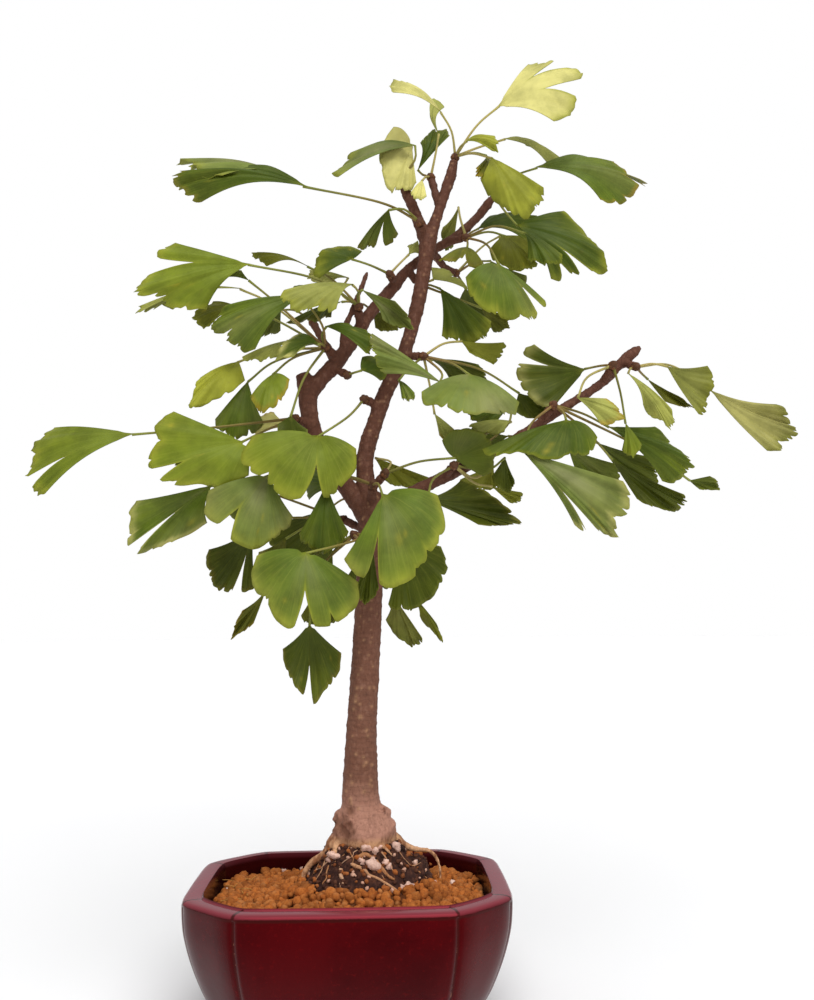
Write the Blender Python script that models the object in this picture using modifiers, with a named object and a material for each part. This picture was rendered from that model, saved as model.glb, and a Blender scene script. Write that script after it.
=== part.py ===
"""A ginkgo bonsai in an octagonal glazed pot.

The tree is laid out on a front elevation, in millimetres: x to the right and z up, as seen
from EYE on the plane y = 0 through the trunk. Each point also has a depth y, positive away
from the viewer, and sight() carries it there along its line of sight.
"""

import math
import random
from collections import namedtuple

import bmesh
import bpy
from mathutils import Vector

MM = 0.001
WELD = 0.0000001
CRUMB_FACES = 12
FLAT = math.radians(1)
TAU = 2 * math.pi
SEED = 20

# The eye of the front elevation, in millimetres from the middle of the pot's base.
EYE = Vector((17.7, -587.8, 223.8))

# Pot: half sizes of its eight-sided outline at the rim.
POT_HALF_LENGTH = 90.0
POT_HALF_DEPTH = 70.0
FRONT_HALF = 58.7
END_HALF = 42.0
SIDE_BOW = 1.4
CREASE = 1.1
CREASE_WIDTH = 3.5
# Height and inset of each ring of the pot's wall, from under its floor, over the rim, to its
# inner floor.
POT_RINGS = [
    (6.0, 25.0), (8.5, 20.0), (16.0, 14.2), (26.0, 9.4), (40.0, 4.4), (54.0, 1.0), (66.0, 0.0),
    (70.4, 0.3), (71.8, 2.0), (72.0, 6.0), (71.6, 9.8), (70.0, 11.4), (40.0, 13.0), (18.0, 19.0),
    (12.0, 26.0),
]
CREASED_RINGS = range(1, 7)
FOOT_SIZE = (26.0, 17.0)
FOOT_CENTRE = (44.0, 30.0)
FOOT_TOP = 9.0
FOOT_BEVEL = 2.0
DRAIN_RADIUS = 6.0
DRAIN_X = 25.0

# Soil: its own rings up the wall, then its surface of granules.
GAP = 0.35
SOIL_WALL = [(12.0 + GAP, 26.6), (18.3, 19.5), (40.0, 13.5)]
SOIL_LEVEL = 61.5
SOIL_EDGE = 12.4
SOIL_RISE = 4.0
SOIL_RISE_REACH = 14.0
SOIL_RINGS = 8
GRAIN = 2.2

# Root mound: an oval block of old soil around the trunk's foot.
MOUND_CENTRE = (8.5, 0.0)
MOUND_HALF = (38.0, 31.0)
MOUND_BASE = 58.0
MOUND_RINGS = [(1.0, 66.0), (0.93, 71.5), (0.80, 77.0), (0.65, 81.0), (0.52, 83.5)]
MOUND_TOP = 84.5
MOUND_SIDES = 24
MOUND_RELIEF = 1.0
TRUNK_HOLE = 15.0
STONES = [(-104, 20.5, 3.0), (-82, 21.0, 3.3), (-64, 18.5, 2.8), (-34, 25.0, 3.0), (-141, 23.0, 2.4),
          (-93, 28.0, 2.8), (-64, 29.0, 3.4), (-178, 27.0, 2.8), (60, 22.0, 3.2), (132, 24.0, 3.2)]

# Leaves.
BLADE_THICKNESS = 0.7
SPREAD = math.radians(72)
NECK = 0.55
PETIOLE_RADIUS = 0.85
BLADE_ROWS = (0.5, 1.0)
SMALL_LEAF = 31.0
LARGE_LEAF = 42.0
CUT_WIDTH = 0.11
COLLAR_RADIUS = 2.6
COLLAR_GAP = 0.3

Leaf = namedtuple("Leaf", "base depth left middle right lean turn cuts via")
Spray = namedtuple("Spray", "root tip leaves")


def leaf(base, depth, left, middle, right, lean=0, turn=0, cuts=(), via=None):
    """A fan blade by the elevation points of its base and of its outer edge.

    depth is the base's y. The middle of the outer edge lies lean further back, and the left
    corner turn further back than the right one. cuts lists (place across, depth) of clefts.
    """
    return Leaf(base, depth, left, middle, right, lean, turn, cuts, via)


# Limbs: (x, z, y, radius) on the elevation.
LIMBS = {
    "trunk": [(8.5, 60, 0, 14.2), (8.5, 87, 0, 14.4), (8.8, 92, 0, 17.2), (8.8, 98, 0, 18.3),
              (7.6, 105, 0, 15.2), (6.6, 112, 0, 12), (6.2, 125, 0, 10.4), (7.2, 160, 0, 8.9),
              (9.7, 200, 0, 8.3), (12, 245, 0, 8.0), (13, 285, 0, 7.6), (12.5, 297, 0, 6.6)],
    "leader": [(13, 283, 0, 6.2), (9.5, 310, 0, 5.4), (10.5, 324, 0, 5.2), (17, 345, 0, 4.9),
               (23, 361, 0, 4.8), (32, 379, 0, 4.4), (38, 398, 0, 4.2), (43, 418, 0, 4.5),
               (47, 440, 0, 4.6), (49.5, 456, 0, 5.4), (53, 466, 0, 3.8), (58, 481, 0, 3.2),
               (64, 499, 0, 3.6), (66, 506, 0, 3.0)],
    "leader_left": [(49, 452, 0, 4.2), (45, 464, 0, 3.8), (40, 478, 0, 3.4), (35, 490, 0, 3.2)],
    "left_limb": [(13, 278, 0, 6.0), (0, 298, 1, 5.6), (-14, 318, 2, 5.3), (-22, 335, 2, 5.2),
                  (-25, 350, 3, 5.5), (-26, 362, 4, 6.0), (-29, 371, 4, 4.6)],
    "left_limb_upper": [(-25, 358, 4, 5.0), (-17, 368, 5, 5.0), (-9, 377, 6, 4.8),
                        (0, 389, 8, 4.3), (7, 400, 10, 4.0), (15, 412, 11, 3.7),
                        (28, 427, 14, 3.8), (37, 438, 17, 3.0), (52, 450, 21, 2.8),
                        (66, 458, 21, 3.0), (78, 469, 21, 2.8), (88, 481, 21, 3.0)],
    "shoot": [(-4, 383, 7, 2.6), (-3, 398, 5, 2.2), (2, 412, 3, 1.5), (9, 430, 1, 1.6),
              (11, 436, 1, 0.8)],
    "right_branch": [(13, 280, 0, 5.0), (24, 290, -1, 4.4), (36, 296, -2, 4.0),
                     (52, 304, -3, 3.7), (69, 312, -3, 3.6), (100, 329, -3, 3.2),
                     (133, 350, -3, 2.8), (155, 364, -2, 2.7), (168, 377, -1, 3.2),
                     (176, 384, 0, 3.4), (181, 388, 0, 1.2)],
    "back_low_twig": [(12, 270, 2, 4.2), (10, 282, 18, 3.4), (5, 292, 34, 2.6)],
    "back_left_twig": [(-21, 334, 4, 3.0), (-29, 332, 16, 2.6), (-38, 328, 26, 2.2)],
    "back_upper_twig": [(-8, 377, 8, 3.2), (-14, 388, 22, 2.6), (-20, 398, 34, 2.2)],
    "back_right_twig": [(51, 449, 21, 2.8), (55, 445, 29, 2.6), (60, 438, 38, 2.2)],
    "back_branch_twig": [(108, 334, -1, 2.8), (112, 334, 14, 2.4), (118, 332, 26, 2.2)],
}

# Surface roots: compass angle on the mound, its swing on the way out, root radius.
ROOTS = [(-158, -8, 3.4), (-128, 6, 2.0), (-50, 2, 2.2), (-14, -4, 3.2), (20, 10, 3.0),
         (95, 14, 3.0), (165, -8, 3.2)]
ROOT_RUN = [(13, None, 1.3), (19, 1.7, 1.0), (24, 1.9, 0.9), (28, 1.9, 0.8), (31.5, 1.9, 0.75),
            (34, 2.0, 0.7), (38.5, 1.8, 0.5)]

SPRAYS = {
    "spray_top": Spray((64, 499, 0), (66.5, 509, 0), [
        leaf((94, 545), -5, (116, 575), (149, 563), (137, 535), 0, 10, [(-.28, .5), (.3, .5)]),
        leaf((59, 541), -12, (26, 555), (31, 560), (41, 562), -5, -14),
        leaf((74, 522), -12, (90, 528), (95, 521), (92, 515), -25, 8),
        leaf((98, 524), 18, (114, 522), (133, 512), (128, 506), 18, 12, via=(82, 518, 8)),
        leaf((90, 512), -22, (83, 493), (110, 468), (126, 491), -8, 3, [(-.05, .12)], (78, 514, -10)),
        leaf((87, 513), -6, (80, 504), (83, 497), (88, 502), -22, -6),
    ]),
    "spray_crown": Spray((56, 480, 1), (52, 496, 8), [
        leaf((43, 502), 8, (50, 524), (66, 531), (75, 522), 12, -8),
        leaf((46, 496), -2, (38, 488), (42, 483), (49, 484), -12, 0),
        leaf((57, 526), 8, (52, 545), (54, 551), (59, 547), 22, 8),
    ]),
    "spray_left_tip": Spray((38, 484, 0), (33.5, 494, -2), [
        leaf((38, 518), -14, (18, 509), (30, 489), (42, 491), -4, 6),
        leaf((43, 519), -2, (-12, 497), (2, 513), (14, 520), 12, -16),
    ]),
    "spray_leader_side": Spray((48, 458, 0), (45, 466, -7), [
        leaf((-25, 491), -25, (-98, 484), (-112, 495), (-109, 505), 6, -20, via=(20, 481, -18)),
        leaf((25, 477), -18, (3, 451), (12, 451), (30, 457), 10, -6, [(.35, .7)]),
    ]),
    "spray_right_bud": Spray((82, 474, 21), (90, 484, 20), [
        leaf((117, 505), 15, (153, 516), (188, 493), (161, 481), 10, 10, [(.1, .25)]),
        leaf((114, 472), 5, (165, 446), (152, 429), (133, 430), -5, 6, [(.3, .5)]),
    ]),
    "spray_right_fork": Spray((63, 456, 20), (71, 458, 13), [
        leaf((80, 464), 28, (92, 475), (118, 473), (113, 456), 14, 10),
        leaf((74, 452), 6, (54, 444), (68, 443), (85, 440), -24, 0, [(.2, .3)]),
        leaf((110, 462), -6, (112, 444), (124, 441), (136, 446), -16, 0, via=(92, 466, 2)),
        leaf((98, 460), 12, (88, 446), (107, 437), (120, 440), -4, 0),
        leaf((93, 442), -14, (74, 421), (103, 406), (125, 417), -8, 0, [(.45, .45), (-.1, .12)],
             (86, 454, -4)),
        leaf((69, 479), 30, (57, 458), (58, 451), (65, 450), 4, 0, via=(70, 470, 14)),
    ]),
    "spray_middle": Spray((29, 428, 14), (26, 433, 5), [
        leaf((2, 444), -2, (3, 452), (-18, 449), (-36, 427), 2, 2),
        leaf((37, 447), 6, (36, 453), (43, 456), (45, 448), 6, 0),
    ]),
    "spray_behind_leader": Spray((36, 437, 17), (42, 430, 20), [
        leaf((52, 431), 8, (53, 440), (66, 434), (76, 424), 8, 0, [(.1, .3)]),
        leaf((56, 426), 16, (57, 393), (80, 392), (91, 403), -4, 0),
        leaf((82, 413), 28, (90, 396), (99, 400), (98, 409), 15, 0),
    ]),
    "spray_left_upper": Spray((6, 400, 9), (6, 411, 0), [
        leaf((-61, 441), -12, (-122, 449), (-131, 428), (-80, 419), -6, 0, [(-.45, .5), (.3, .2)],
             (-20, 431, -10)),
        leaf((2, 425), -12, (-45, 416), (-22, 411), (-3, 416), -26, 0),
        leaf((7, 425), -14, (31, 417), (41, 398), (21, 404), -8, -4),
        leaf((0, 432), 10, (-24, 438), (-27, 431), (-12, 428), 14, 6, via=(-5, 422, 4)),
        leaf((-25, 439), 14, (-60, 449), (-60, 446), (-50, 442), 8, 10),
        leaf((-4, 417), 2, (-42, 403), (-26, 404), (-12, 407), 12, -8),
        leaf((13, 412), 20, (16, 399), (27, 398), (38, 403), 14, 0),
    ]),
    "spray_left_spur": Spray((-6, 381, 6), (-13, 386, -2), [
        leaf((-28, 421), -16, (-84, 403), (-68, 394), (-58, 387), -8, 4, [(.05, .35)],
             (-17, 402, -14)),
        leaf((-66, 425), 14, (-133, 412), (-116, 409), (-97, 413), 6, -8),
        leaf((-62, 430), 2, (-77, 433), (-76, 437), (-67, 437), -10, 0),
        leaf((-65, 412), 6, (-84, 418), (-98, 409), (-96, 401), 4, 8),
        leaf((-38, 392), -2, (-68, 381), (-56, 379), (-44, 383), -10, 0),
        leaf((-19, 390), -14, (-36, 396), (-46, 378), (-28, 387), -6, 6),
        leaf((-15, 401), -10, (0, 403), (14, 396), (12, 383), -6, 6),
        leaf((-36, 345), -20, (-45, 336), (-34, 322), (-24, 334), 0, 0, (), (-28, 368, -15)),
        leaf((-68, 379), 6, (-99, 348), (-86, 352), (-66, 363), -16, 0),
        leaf((-47, 371), -12, (-63, 352), (-51, 347), (-38, 358), -16, 0),
        leaf((-62, 367), 4, (-79, 338), (-68, 333), (-57, 342), -6, 0),
    ]),
    "spray_right_spur": Spray((36, 382, 0), (43.5, 382, -6), [
        leaf((69, 392), 2, (74, 384), (89, 377), (98, 391), 4, 0),
        leaf((50, 380), 4, (63, 364), (85, 364), (82, 378), 16, 6),
        leaf((104, 359), 16, (106, 343), (127, 345), (118, 358), 2, 0, (), (80, 374, 4)),
        leaf((57, 365), -19, (19, 371), (15, 385), (11, 400), -6, 0),
        leaf((74, 371), -10, (41, 356), (75, 346), (108, 349), -30, 0),
        leaf((52, 346), 2, (55, 332), (60, 327), (65, 336), -10, 0),
        leaf((30, 367), -10, (32, 356), (37, 354), (41, 358), -20, 0),
    ]),
    "spray_elbow": Spray((-9, 374, 5), (-3, 371, -2), [
        leaf((7, 373), -11, (12, 383), (26, 375), (20, 366), 0, 0),
    ]),
    "spray_low_spur": Spray((17, 351, 0), (11, 354, -6), [
        leaf((-19, 333), -26, (-66, 317), (-20, 293), (10, 306), -8, 0, [(.02, .42), (-.45, .12)],
             (-1, 344, -16)),
    ]),
    "spray_fork_right": Spray((13, 299, 0), (20, 307, -7), [
        leaf((64, 318), -14, (61, 335), (85, 331), (87, 308), -4, 0, (), (42, 316, -12)),
        leaf((15, 319), 10, (21, 304), (36, 299), (51, 306), 10, 0, via=(25, 316, 4)),
    ]),
    "spray_left_branch": Spray((-23, 338, 2), (-31, 342, -5), [
        leaf((-130, 334), -18, (-181, 340), (-194, 308), (-185, 296), 0, 12, [(.35, .45)],
             (-88, 337, -14)),
        leaf((-64, 329), -16, (-113, 344), (-110, 311), (-73, 304), -6, 0, [(-.45, .1), (.25, .3)]),
        leaf((-36, 338), -4, (-57, 332), (-60, 342), (-47, 348), -4, 0),
    ]),
    "spray_front": Spray((13, 288, -2), (14, 300, -16), [
        leaf((20, 297), -40, (-4, 256), (21, 243), (56, 277), -8, 0, [(-.2, .5)]),
        leaf((-14, 303), -24, (-33, 270), (-20, 256), (0, 268), -4, 0),
        leaf((-49, 309), -18, (-88, 293), (-64, 274), (-38, 269), -6, 0, [(-.1, .5)]),
    ]),
    "spray_low_front": Spray((11, 262, -3), (4, 270, -15), [
        leaf((-26, 262), -32, (-58, 245), (-26, 214), (2, 233), -6, 0, [(0, .45)],
             (3, 268, -33)),
        leaf((-24, 219), -14, (-39, 197), (-22, 171), (-5, 192), 0, 0, [(-.08, .5)],
             (-20, 248, -16)),
        leaf((-50, 238), -8, (-66, 226), (-71, 211), (-61, 215), 4, 0),
        leaf((-18, 246), -6, (-30, 222), (-16, 217), (-2, 222), 4, 0),
        leaf((14, 268), -20, (3, 238), (9, 230), (18, 237), 0, 0),
    ]),
    "spray_low_left": Spray((9, 274, 3), (-2, 280, 12), [
        leaf((-82, 303), 8, (-128, 292), (-127, 261), (-87, 279), -2, 0, [(-.1, .6)]),
        leaf((-58, 276), 14, (-86, 262), (-74, 238), (-57, 238), 2, 0, [(.35, .45)]),
        leaf((-38, 270), 10, (-56, 261), (-53, 249), (-38, 248), 4, 0),
    ]),
    "spray_low_right": Spray((17, 266, 0), (26, 272, 5), [
        leaf((31, 266), -8, (23, 230), (40, 233), (59, 254), 4, 0),
        leaf((26, 235), 10, (23, 219), (37, 208), (44, 217), 6, 0),
        leaf((38, 235), 2, (42, 222), (56, 206), (53, 217), -4, 0),
    ]),
    "spray_branch_near": Spray((56, 306, -3), (62, 312, -11), [
        leaf((44, 293), -14, (62, 284), (92, 272), (105, 284), -8, 0),
        leaf((95, 319), 4, (86, 305), (98, 296), (101, 304), 8, 0, via=(84, 311, -4)),
        leaf((88, 313), 14, (65, 304), (80, 299), (90, 300), 10, 0, via=(76, 306, -2)),
        leaf((86, 301), 18, (98, 290), (104, 291), (106, 297), 6, 0, via=(76, 303, 2)),
        leaf((100, 341), 10, (73, 341), (79, 333), (95, 334), -16, 0, via=(80, 331, -2)),
        leaf((101, 350), 16, (72, 348), (74, 341), (90, 340), -10, 0),
    ]),
    "spray_branch_middle": Spray((118, 341, -3), (124, 349, -9), [
        leaf((134, 342), -12, (76, 322), (112, 321), (150, 323), -22, 0),
        leaf((105, 323), -26, (138, 277), (157, 268), (180, 291), -10, 0, [(-.55, .55)]),
        leaf((158, 338), 8, (209, 313), (211, 302), (193, 302), 6, 0),
        leaf((160, 318), 14, (176, 291), (196, 286), (205, 296), 6, 0),
        leaf((208, 304), 22, (222, 307), (228, 298), (214, 298), 10, 0),
    ]),
    "spray_branch_outer": Spray((157, 366, -2), (162, 374, -9), [
        leaf((155, 371), 2, (113, 388), (105, 369), (126, 346), 8, 0, [(-.45, .45)],
             (156, 376, -6)),
        leaf((140, 356), -12, (160, 356), (170, 343), (156, 337), -10, 0),
        leaf((170, 340), -6, (167, 322), (174, 318), (181, 326), -6, 0),
    ]),
    "spray_branch_tip": Spray((170, 378, -1), (176, 376, -8), [
        leaf((188, 364), 6, (196, 352), (213, 349), (205, 356), 12, 0),
        leaf((172, 372), -10, (182, 350), (197, 337), (202, 347), -8, 0),
        leaf((197, 376), 4, (225, 376), (223, 356), (217, 342), 6, 0),
        leaf((223, 361), 20, (268, 351), (273, 334), (256, 320), 4, 0, [(.5, .3)], (200, 376, 18)),
    ]),
    "spray_back_low": Spray((10, 284, 22), (4, 294, 38), [
        leaf((-12, 288), 52, (-50, 278), (-38, 256), (-10, 250), 24, 0),
        leaf((28, 288), 50, (20, 252), (40, 248), (54, 268), 26, 0),
        leaf((-4, 300), 62, (-26, 292), (-28, 310), (-8, 318), 26, 0),
        leaf((10, 264), 44, (-6, 240), (12, 235), (30, 244), 22, 0),
    ]),
    "spray_back_left": Spray((-34, 330, 22), (-42, 326, 30), [
        leaf((-58, 302), 42, (-84, 296), (-72, 282), (-50, 276), 24, 0),
        leaf((-78, 322), 38, (-104, 330), (-108, 316), (-92, 306), 20, 0),
    ]),
    "spray_back_upper": Spray((-17, 393, 28), (-22, 402, 38), [
        leaf((-42, 412), 52, (-66, 404), (-58, 394), (-42, 398), 22, 0),
        leaf((-14, 420), 50, (-38, 414), (-34, 426), (-14, 430), 24, 0),
    ]),
    "spray_back_right": Spray((59, 439, 37), (65, 436, 44), [
        leaf((72, 426), 54, (64, 404), (84, 398), (92, 412), 26, 0),
        leaf((88, 444), 52, (86, 422), (104, 418), (112, 434), 22, 0),
        leaf((94, 460), 58, (94, 446), (114, 444), (122, 460), 24, 0),
    ]),
    "spray_back_branch": Spray((114, 333, 20), (122, 330, 30), [
        leaf((134, 324), 44, (142, 298), (160, 298), (166, 314), 24, 0),
        leaf((152, 328), 62, (172, 302), (188, 300), (190, 318), 20, 0),
        leaf((98, 332), 46, (74, 338), (68, 326), (78, 318), 22, 0),
    ]),
}


def clear_scene():
    for obj in list(bpy.data.objects):
        bpy.data.objects.remove(obj)


def collection(name):
    made = bpy.data.collections.new(name)
    bpy.context.scene.collection.children.link(made)
    return made


def material(name, colour, roughness):
    made = bpy.data.materials.new(name)
    made.use_nodes = True
    shader = made.node_tree.nodes["Principled BSDF"]
    shader.inputs["Base Color"].default_value = (*colour, 1)
    shader.inputs["Roughness"].default_value = roughness
    shader.inputs["Metallic"].default_value = 0
    return made


def sight(x, z, y):
    """The elevation point (x, z), carried to depth y along its line of sight."""
    reach = (y - EYE.y) / -EYE.y
    return Vector((EYE.x + (x - EYE.x) * reach, y, EYE.z + (z - EYE.z) * reach))


def mesh_object(name, bm, into):
    """Points in bm are in millimetres."""
    bmesh.ops.scale(bm, vec=(MM, MM, MM), verts=bm.verts)
    bmesh.ops.recalc_face_normals(bm, faces=bm.faces)
    mesh = bpy.data.meshes.new(name)
    bm.to_mesh(mesh)
    bm.free()
    obj = bpy.data.objects.new(name, mesh)
    into.objects.link(obj)
    return obj


def drop_scraps(bm):
    """Removes what encloses nothing: pairs of faces on the same corners, and loose crumbs."""
    seen = {}
    for face in bm.faces:
        seen.setdefault(frozenset(face.verts), []).append(face)
    flaps = [face for faces in seen.values() if len(faces) == 2 for face in faces]
    bmesh.ops.delete(bm, geom=flaps, context="FACES")
    left = set(bm.faces)
    while left:
        crumb = {left.pop()}
        reached = list(crumb)
        while reached:
            for edge in reached.pop().edges:
                beside = set(edge.link_faces) - crumb
                crumb |= beside
                reached += beside
        left -= crumb
        if len(crumb) < CRUMB_FACES:
            bmesh.ops.delete(bm, geom=list(crumb), context="FACES")


def applied(obj):
    """The object's mesh with its modifiers applied, in a new object that takes its place."""
    bpy.context.view_layer.update()
    graph = bpy.context.evaluated_depsgraph_get()
    mesh = bpy.data.meshes.new_from_object(obj.evaluated_get(graph))
    bm = bmesh.new()
    bm.from_mesh(mesh)
    bmesh.ops.remove_doubles(bm, verts=bm.verts, dist=WELD)
    bmesh.ops.dissolve_degenerate(bm, edges=bm.edges, dist=WELD)
    bmesh.ops.dissolve_limit(bm, angle_limit=FLAT, verts=bm.verts, edges=bm.edges)
    bmesh.ops.triangulate(bm, faces=bm.faces)
    drop_scraps(bm)
    bm.to_mesh(mesh)
    bm.free()
    name = obj.name
    into = obj.users_collection[0]
    bpy.data.objects.remove(obj)
    made = bpy.data.objects.new(name, mesh)
    into.objects.link(made)
    return made


def fuse(name, pieces, into, finish):
    """One Boolean union of all pieces, which are then removed."""
    helpers = collection(name + "_pieces")
    body, others = pieces[0], pieces[1:]
    for piece in others:
        for home in list(piece.users_collection):
            home.objects.unlink(piece)
        helpers.objects.link(piece)
    if others:
        union = body.modifiers.new("union", "BOOLEAN")
        union.operation = "UNION"
        union.operand_type = "COLLECTION"
        union.collection = helpers
        union.solver = "MANIFOLD"
    body.name = name
    made = applied(body)
    for piece in others:
        bpy.data.objects.remove(piece)
    bpy.data.collections.remove(helpers)
    made.name = name
    for home in list(made.users_collection):
        home.objects.unlink(made)
    into.objects.link(made)
    made.data.materials.clear()
    made.data.materials.append(finish)
    return made


def eight_sided(inset, crease=0.0, between=1):
    """The pot's outline, moved in by inset, with its corners drawn in by crease."""
    half_x = POT_HALF_LENGTH - inset
    half_y = POT_HALF_DEPTH - inset
    run = Vector((POT_HALF_LENGTH - FRONT_HALF, POT_HALF_DEPTH - END_HALF))
    normal = Vector((run.y, run.x)).normalized()
    line = normal.dot(Vector((FRONT_HALF, POT_HALF_DEPTH))) - inset
    front = (line - normal.y * half_y) / normal.x
    end = (line - normal.x * half_x) / normal.y
    corners = [(front, -half_y), (half_x, -end), (half_x, end), (front, half_y),
               (-front, half_y), (-half_x, end), (-half_x, -end), (-front, -half_y)]
    corners = [Vector(corner) for corner in corners]
    points = []
    for index, corner in enumerate(corners):
        following = corners[(index + 1) % len(corners)]
        side = following - corner
        outward = Vector((side.y, -side.x)).normalized()
        bow = SIDE_BOW * side.length / (2 * POT_HALF_LENGTH)
        near = CREASE_WIDTH / side.length
        points.append(corner * (1 - crease / corner.length))
        steps = [near + (1 - 2 * near) * step / (between + 1) for step in range(between + 2)]
        for step in steps:
            points.append(corner + side * step + outward * bow * (1 - (2 * step - 1) ** 2))
    return points


def loft(rings, closed_ends=True, ring_loop=False):
    """A skin over rings of equal length, closed by a cap at each end or round on itself."""
    bm = bmesh.new()
    rows = [[bm.verts.new(point) for point in ring] for ring in rings]
    if ring_loop:
        rows.append(rows[0])
    for lower, upper in zip(rows, rows[1:]):
        for index in range(len(lower)):
            after = (index + 1) % len(lower)
            bm.faces.new((lower[index], lower[after], upper[after], upper[index]))
    if closed_ends and not ring_loop:
        bm.faces.new(reversed(rows[0]))
        bm.faces.new(rows[-1])
    return bm


def tube(name, points, radii, into, sides=6):
    """A tube of a few flat sides through the points, in millimetres, capped at both ends."""
    rings = []
    across = (points[1] - points[0]).orthogonal()
    for index, (point, radius) in enumerate(zip(points, radii)):
        along = points[min(index + 1, len(points) - 1)] - points[max(index - 1, 0)]
        along.normalize()
        across = (across - along * across.dot(along)).normalized()
        over = along.cross(across)
        rings.append([point + radius * (across * math.cos(TAU * step / sides)
                                        + over * math.sin(TAU * step / sides))
                      for step in range(sides)])
    return mesh_object(name, loft(rings), into)


def cylinder(name, centre, radius, low, high, into, sides=24):
    bm = bmesh.new()
    bmesh.ops.create_cone(bm, cap_ends=True, segments=sides, radius1=radius, radius2=radius,
                          depth=high - low)
    bmesh.ops.translate(bm, vec=(*centre, (low + high) / 2), verts=bm.verts)
    return mesh_object(name, bm, into)


def subtract(obj, cutter):
    cutter.hide_render = True
    cutter.display_type = "WIRE"
    cut = obj.modifiers.new("cut_" + cutter.name, "BOOLEAN")
    cut.operation = "DIFFERENCE"
    cut.object = cutter
    cut.solver = "MANIFOLD"


def make_pot(into, cutters, finish):
    rings = []
    for index, (height, inset) in enumerate(POT_RINGS):
        crease = CREASE if index in CREASED_RINGS else 0
        rings.append([(point.x, point.y, height) for point in eight_sided(inset, crease)])
    wall = mesh_object("pot_wall", loft(rings), into)
    feet = []
    for side_x in (-1, 1):
        for side_y in (-1, 1):
            bm = bmesh.new()
            bmesh.ops.create_cube(bm, size=1)
            bmesh.ops.scale(bm, vec=(*FOOT_SIZE, FOOT_TOP), verts=bm.verts)
            centre = (side_x * FOOT_CENTRE[0], side_y * FOOT_CENTRE[1], FOOT_TOP / 2)
            bmesh.ops.translate(bm, vec=centre, verts=bm.verts)
            upright = [edge for edge in bm.edges if abs(edge.verts[0].co.z - edge.verts[1].co.z) > 1]
            bmesh.ops.bevel(bm, geom=upright, offset=FOOT_BEVEL, segments=2, affect="EDGES")
            feet.append(mesh_object("foot", bm, into))
    pot = fuse("pot", [wall] + feet, into, finish)
    for side_x in (-1, 1):
        hole = cylinder("drain_cutter", (side_x * DRAIN_X, 0), DRAIN_RADIUS, -1, FOOT_TOP + 10, cutters)
        subtract(pot, hole)
    return pot


def mound_distance(x, y):
    """1 at the edge of the mound's oval, less inside it."""
    return math.hypot((x - MOUND_CENTRE[0]) / MOUND_HALF[0], (y - MOUND_CENTRE[1]) / MOUND_HALF[1])


def mound_height(distance):
    """The mound's smooth height at a distance from its middle, where 1 is its edge."""
    heights = [(1.08, SOIL_LEVEL + SOIL_RISE)] + MOUND_RINGS + [(0.0, MOUND_TOP)]
    for (outer, low), (inner, high) in zip(heights, heights[1:]):
        if distance >= inner:
            return low + (high - low) * (outer - min(distance, outer)) / (outer - inner)
    return MOUND_TOP


def make_soil(into, cutters, finish):
    draw = random.Random(SEED)
    rings = [[(point.x, point.y, height) for point in eight_sided(inset, between=2)]
             for height, inset in SOIL_WALL]
    edge = eight_sided(SOIL_EDGE, between=2)
    for ring in range(SOIL_RINGS):
        share = 1 - ring / (SOIL_RINGS - 0.4)
        row = []
        for index, point in enumerate(edge):
            x, y = point * share
            away = max(0.0, mound_distance(x, y) - 1) * MOUND_HALF[1]
            height = SOIL_LEVEL + SOIL_RISE * math.exp(-away / SOIL_RISE_REACH)
            if ring:
                height += GRAIN * ((ring + index) % 2 - 0.5) + draw.uniform(-0.8, 0.8)
            row.append((x, y, height))
        rings.append(row)
    soil = mesh_object("soil", loft(rings), into)
    soil.data.materials.append(finish)
    bm = bmesh.new()
    bmesh.ops.create_cone(bm, cap_ends=True, segments=MOUND_SIDES, radius1=1, radius2=1, depth=40)
    size = (MOUND_HALF[0] + GAP, MOUND_HALF[1] + GAP, 1)
    bmesh.ops.scale(bm, vec=size, verts=bm.verts)
    bmesh.ops.translate(bm, vec=(*MOUND_CENTRE, MOUND_BASE - GAP + 20), verts=bm.verts)
    subtract(soil, mesh_object("mound_seat_cutter", bm, cutters))
    return applied(soil)


def make_mound(into, finish):
    draw = random.Random(SEED + 1)
    centre = Vector((*MOUND_CENTRE, 0))

    def oval(share, height, relief):
        row = []
        for step in range(MOUND_SIDES):
            angle = TAU * step / MOUND_SIDES
            out = Vector((MOUND_HALF[0] * math.cos(angle), MOUND_HALF[1] * math.sin(angle), 0))
            rise = relief * draw.uniform(-1, 1)
            row.append(centre + out * share + Vector((0, 0, height + rise)))
        return row

    def circle(height):
        return [centre + Vector((TRUNK_HOLE * math.cos(TAU * step / MOUND_SIDES),
                                 TRUNK_HOLE * math.sin(TAU * step / MOUND_SIDES), height))
                for step in range(MOUND_SIDES)]

    rings = [oval(1, MOUND_BASE, 0)]
    rings += [oval(share, height, MOUND_RELIEF if share < 1 else 0) for share, height in MOUND_RINGS]
    rings += [circle(MOUND_TOP), circle(MOUND_BASE)]
    body = mesh_object("mound_body", loft(rings, ring_loop=True), into)
    stones = []
    for angle, radius, size in STONES:
        bm = bmesh.new()
        bmesh.ops.create_icosphere(bm, subdivisions=1, radius=size)
        x = MOUND_CENTRE[0] + radius * math.cos(math.radians(angle))
        y = MOUND_CENTRE[1] + radius * math.sin(math.radians(angle))
        height = mound_height(mound_distance(x, y)) + 0.3 * size
        for vert in bm.verts:
            vert.co.z *= 0.7
            vert.co *= draw.uniform(0.85, 1.1)
        bmesh.ops.translate(bm, vec=(x, y, height), verts=bm.verts)
        stones.append(mesh_object("stone", bm, into))
    return fuse("root_mound", [body] + stones, into, finish)


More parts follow.
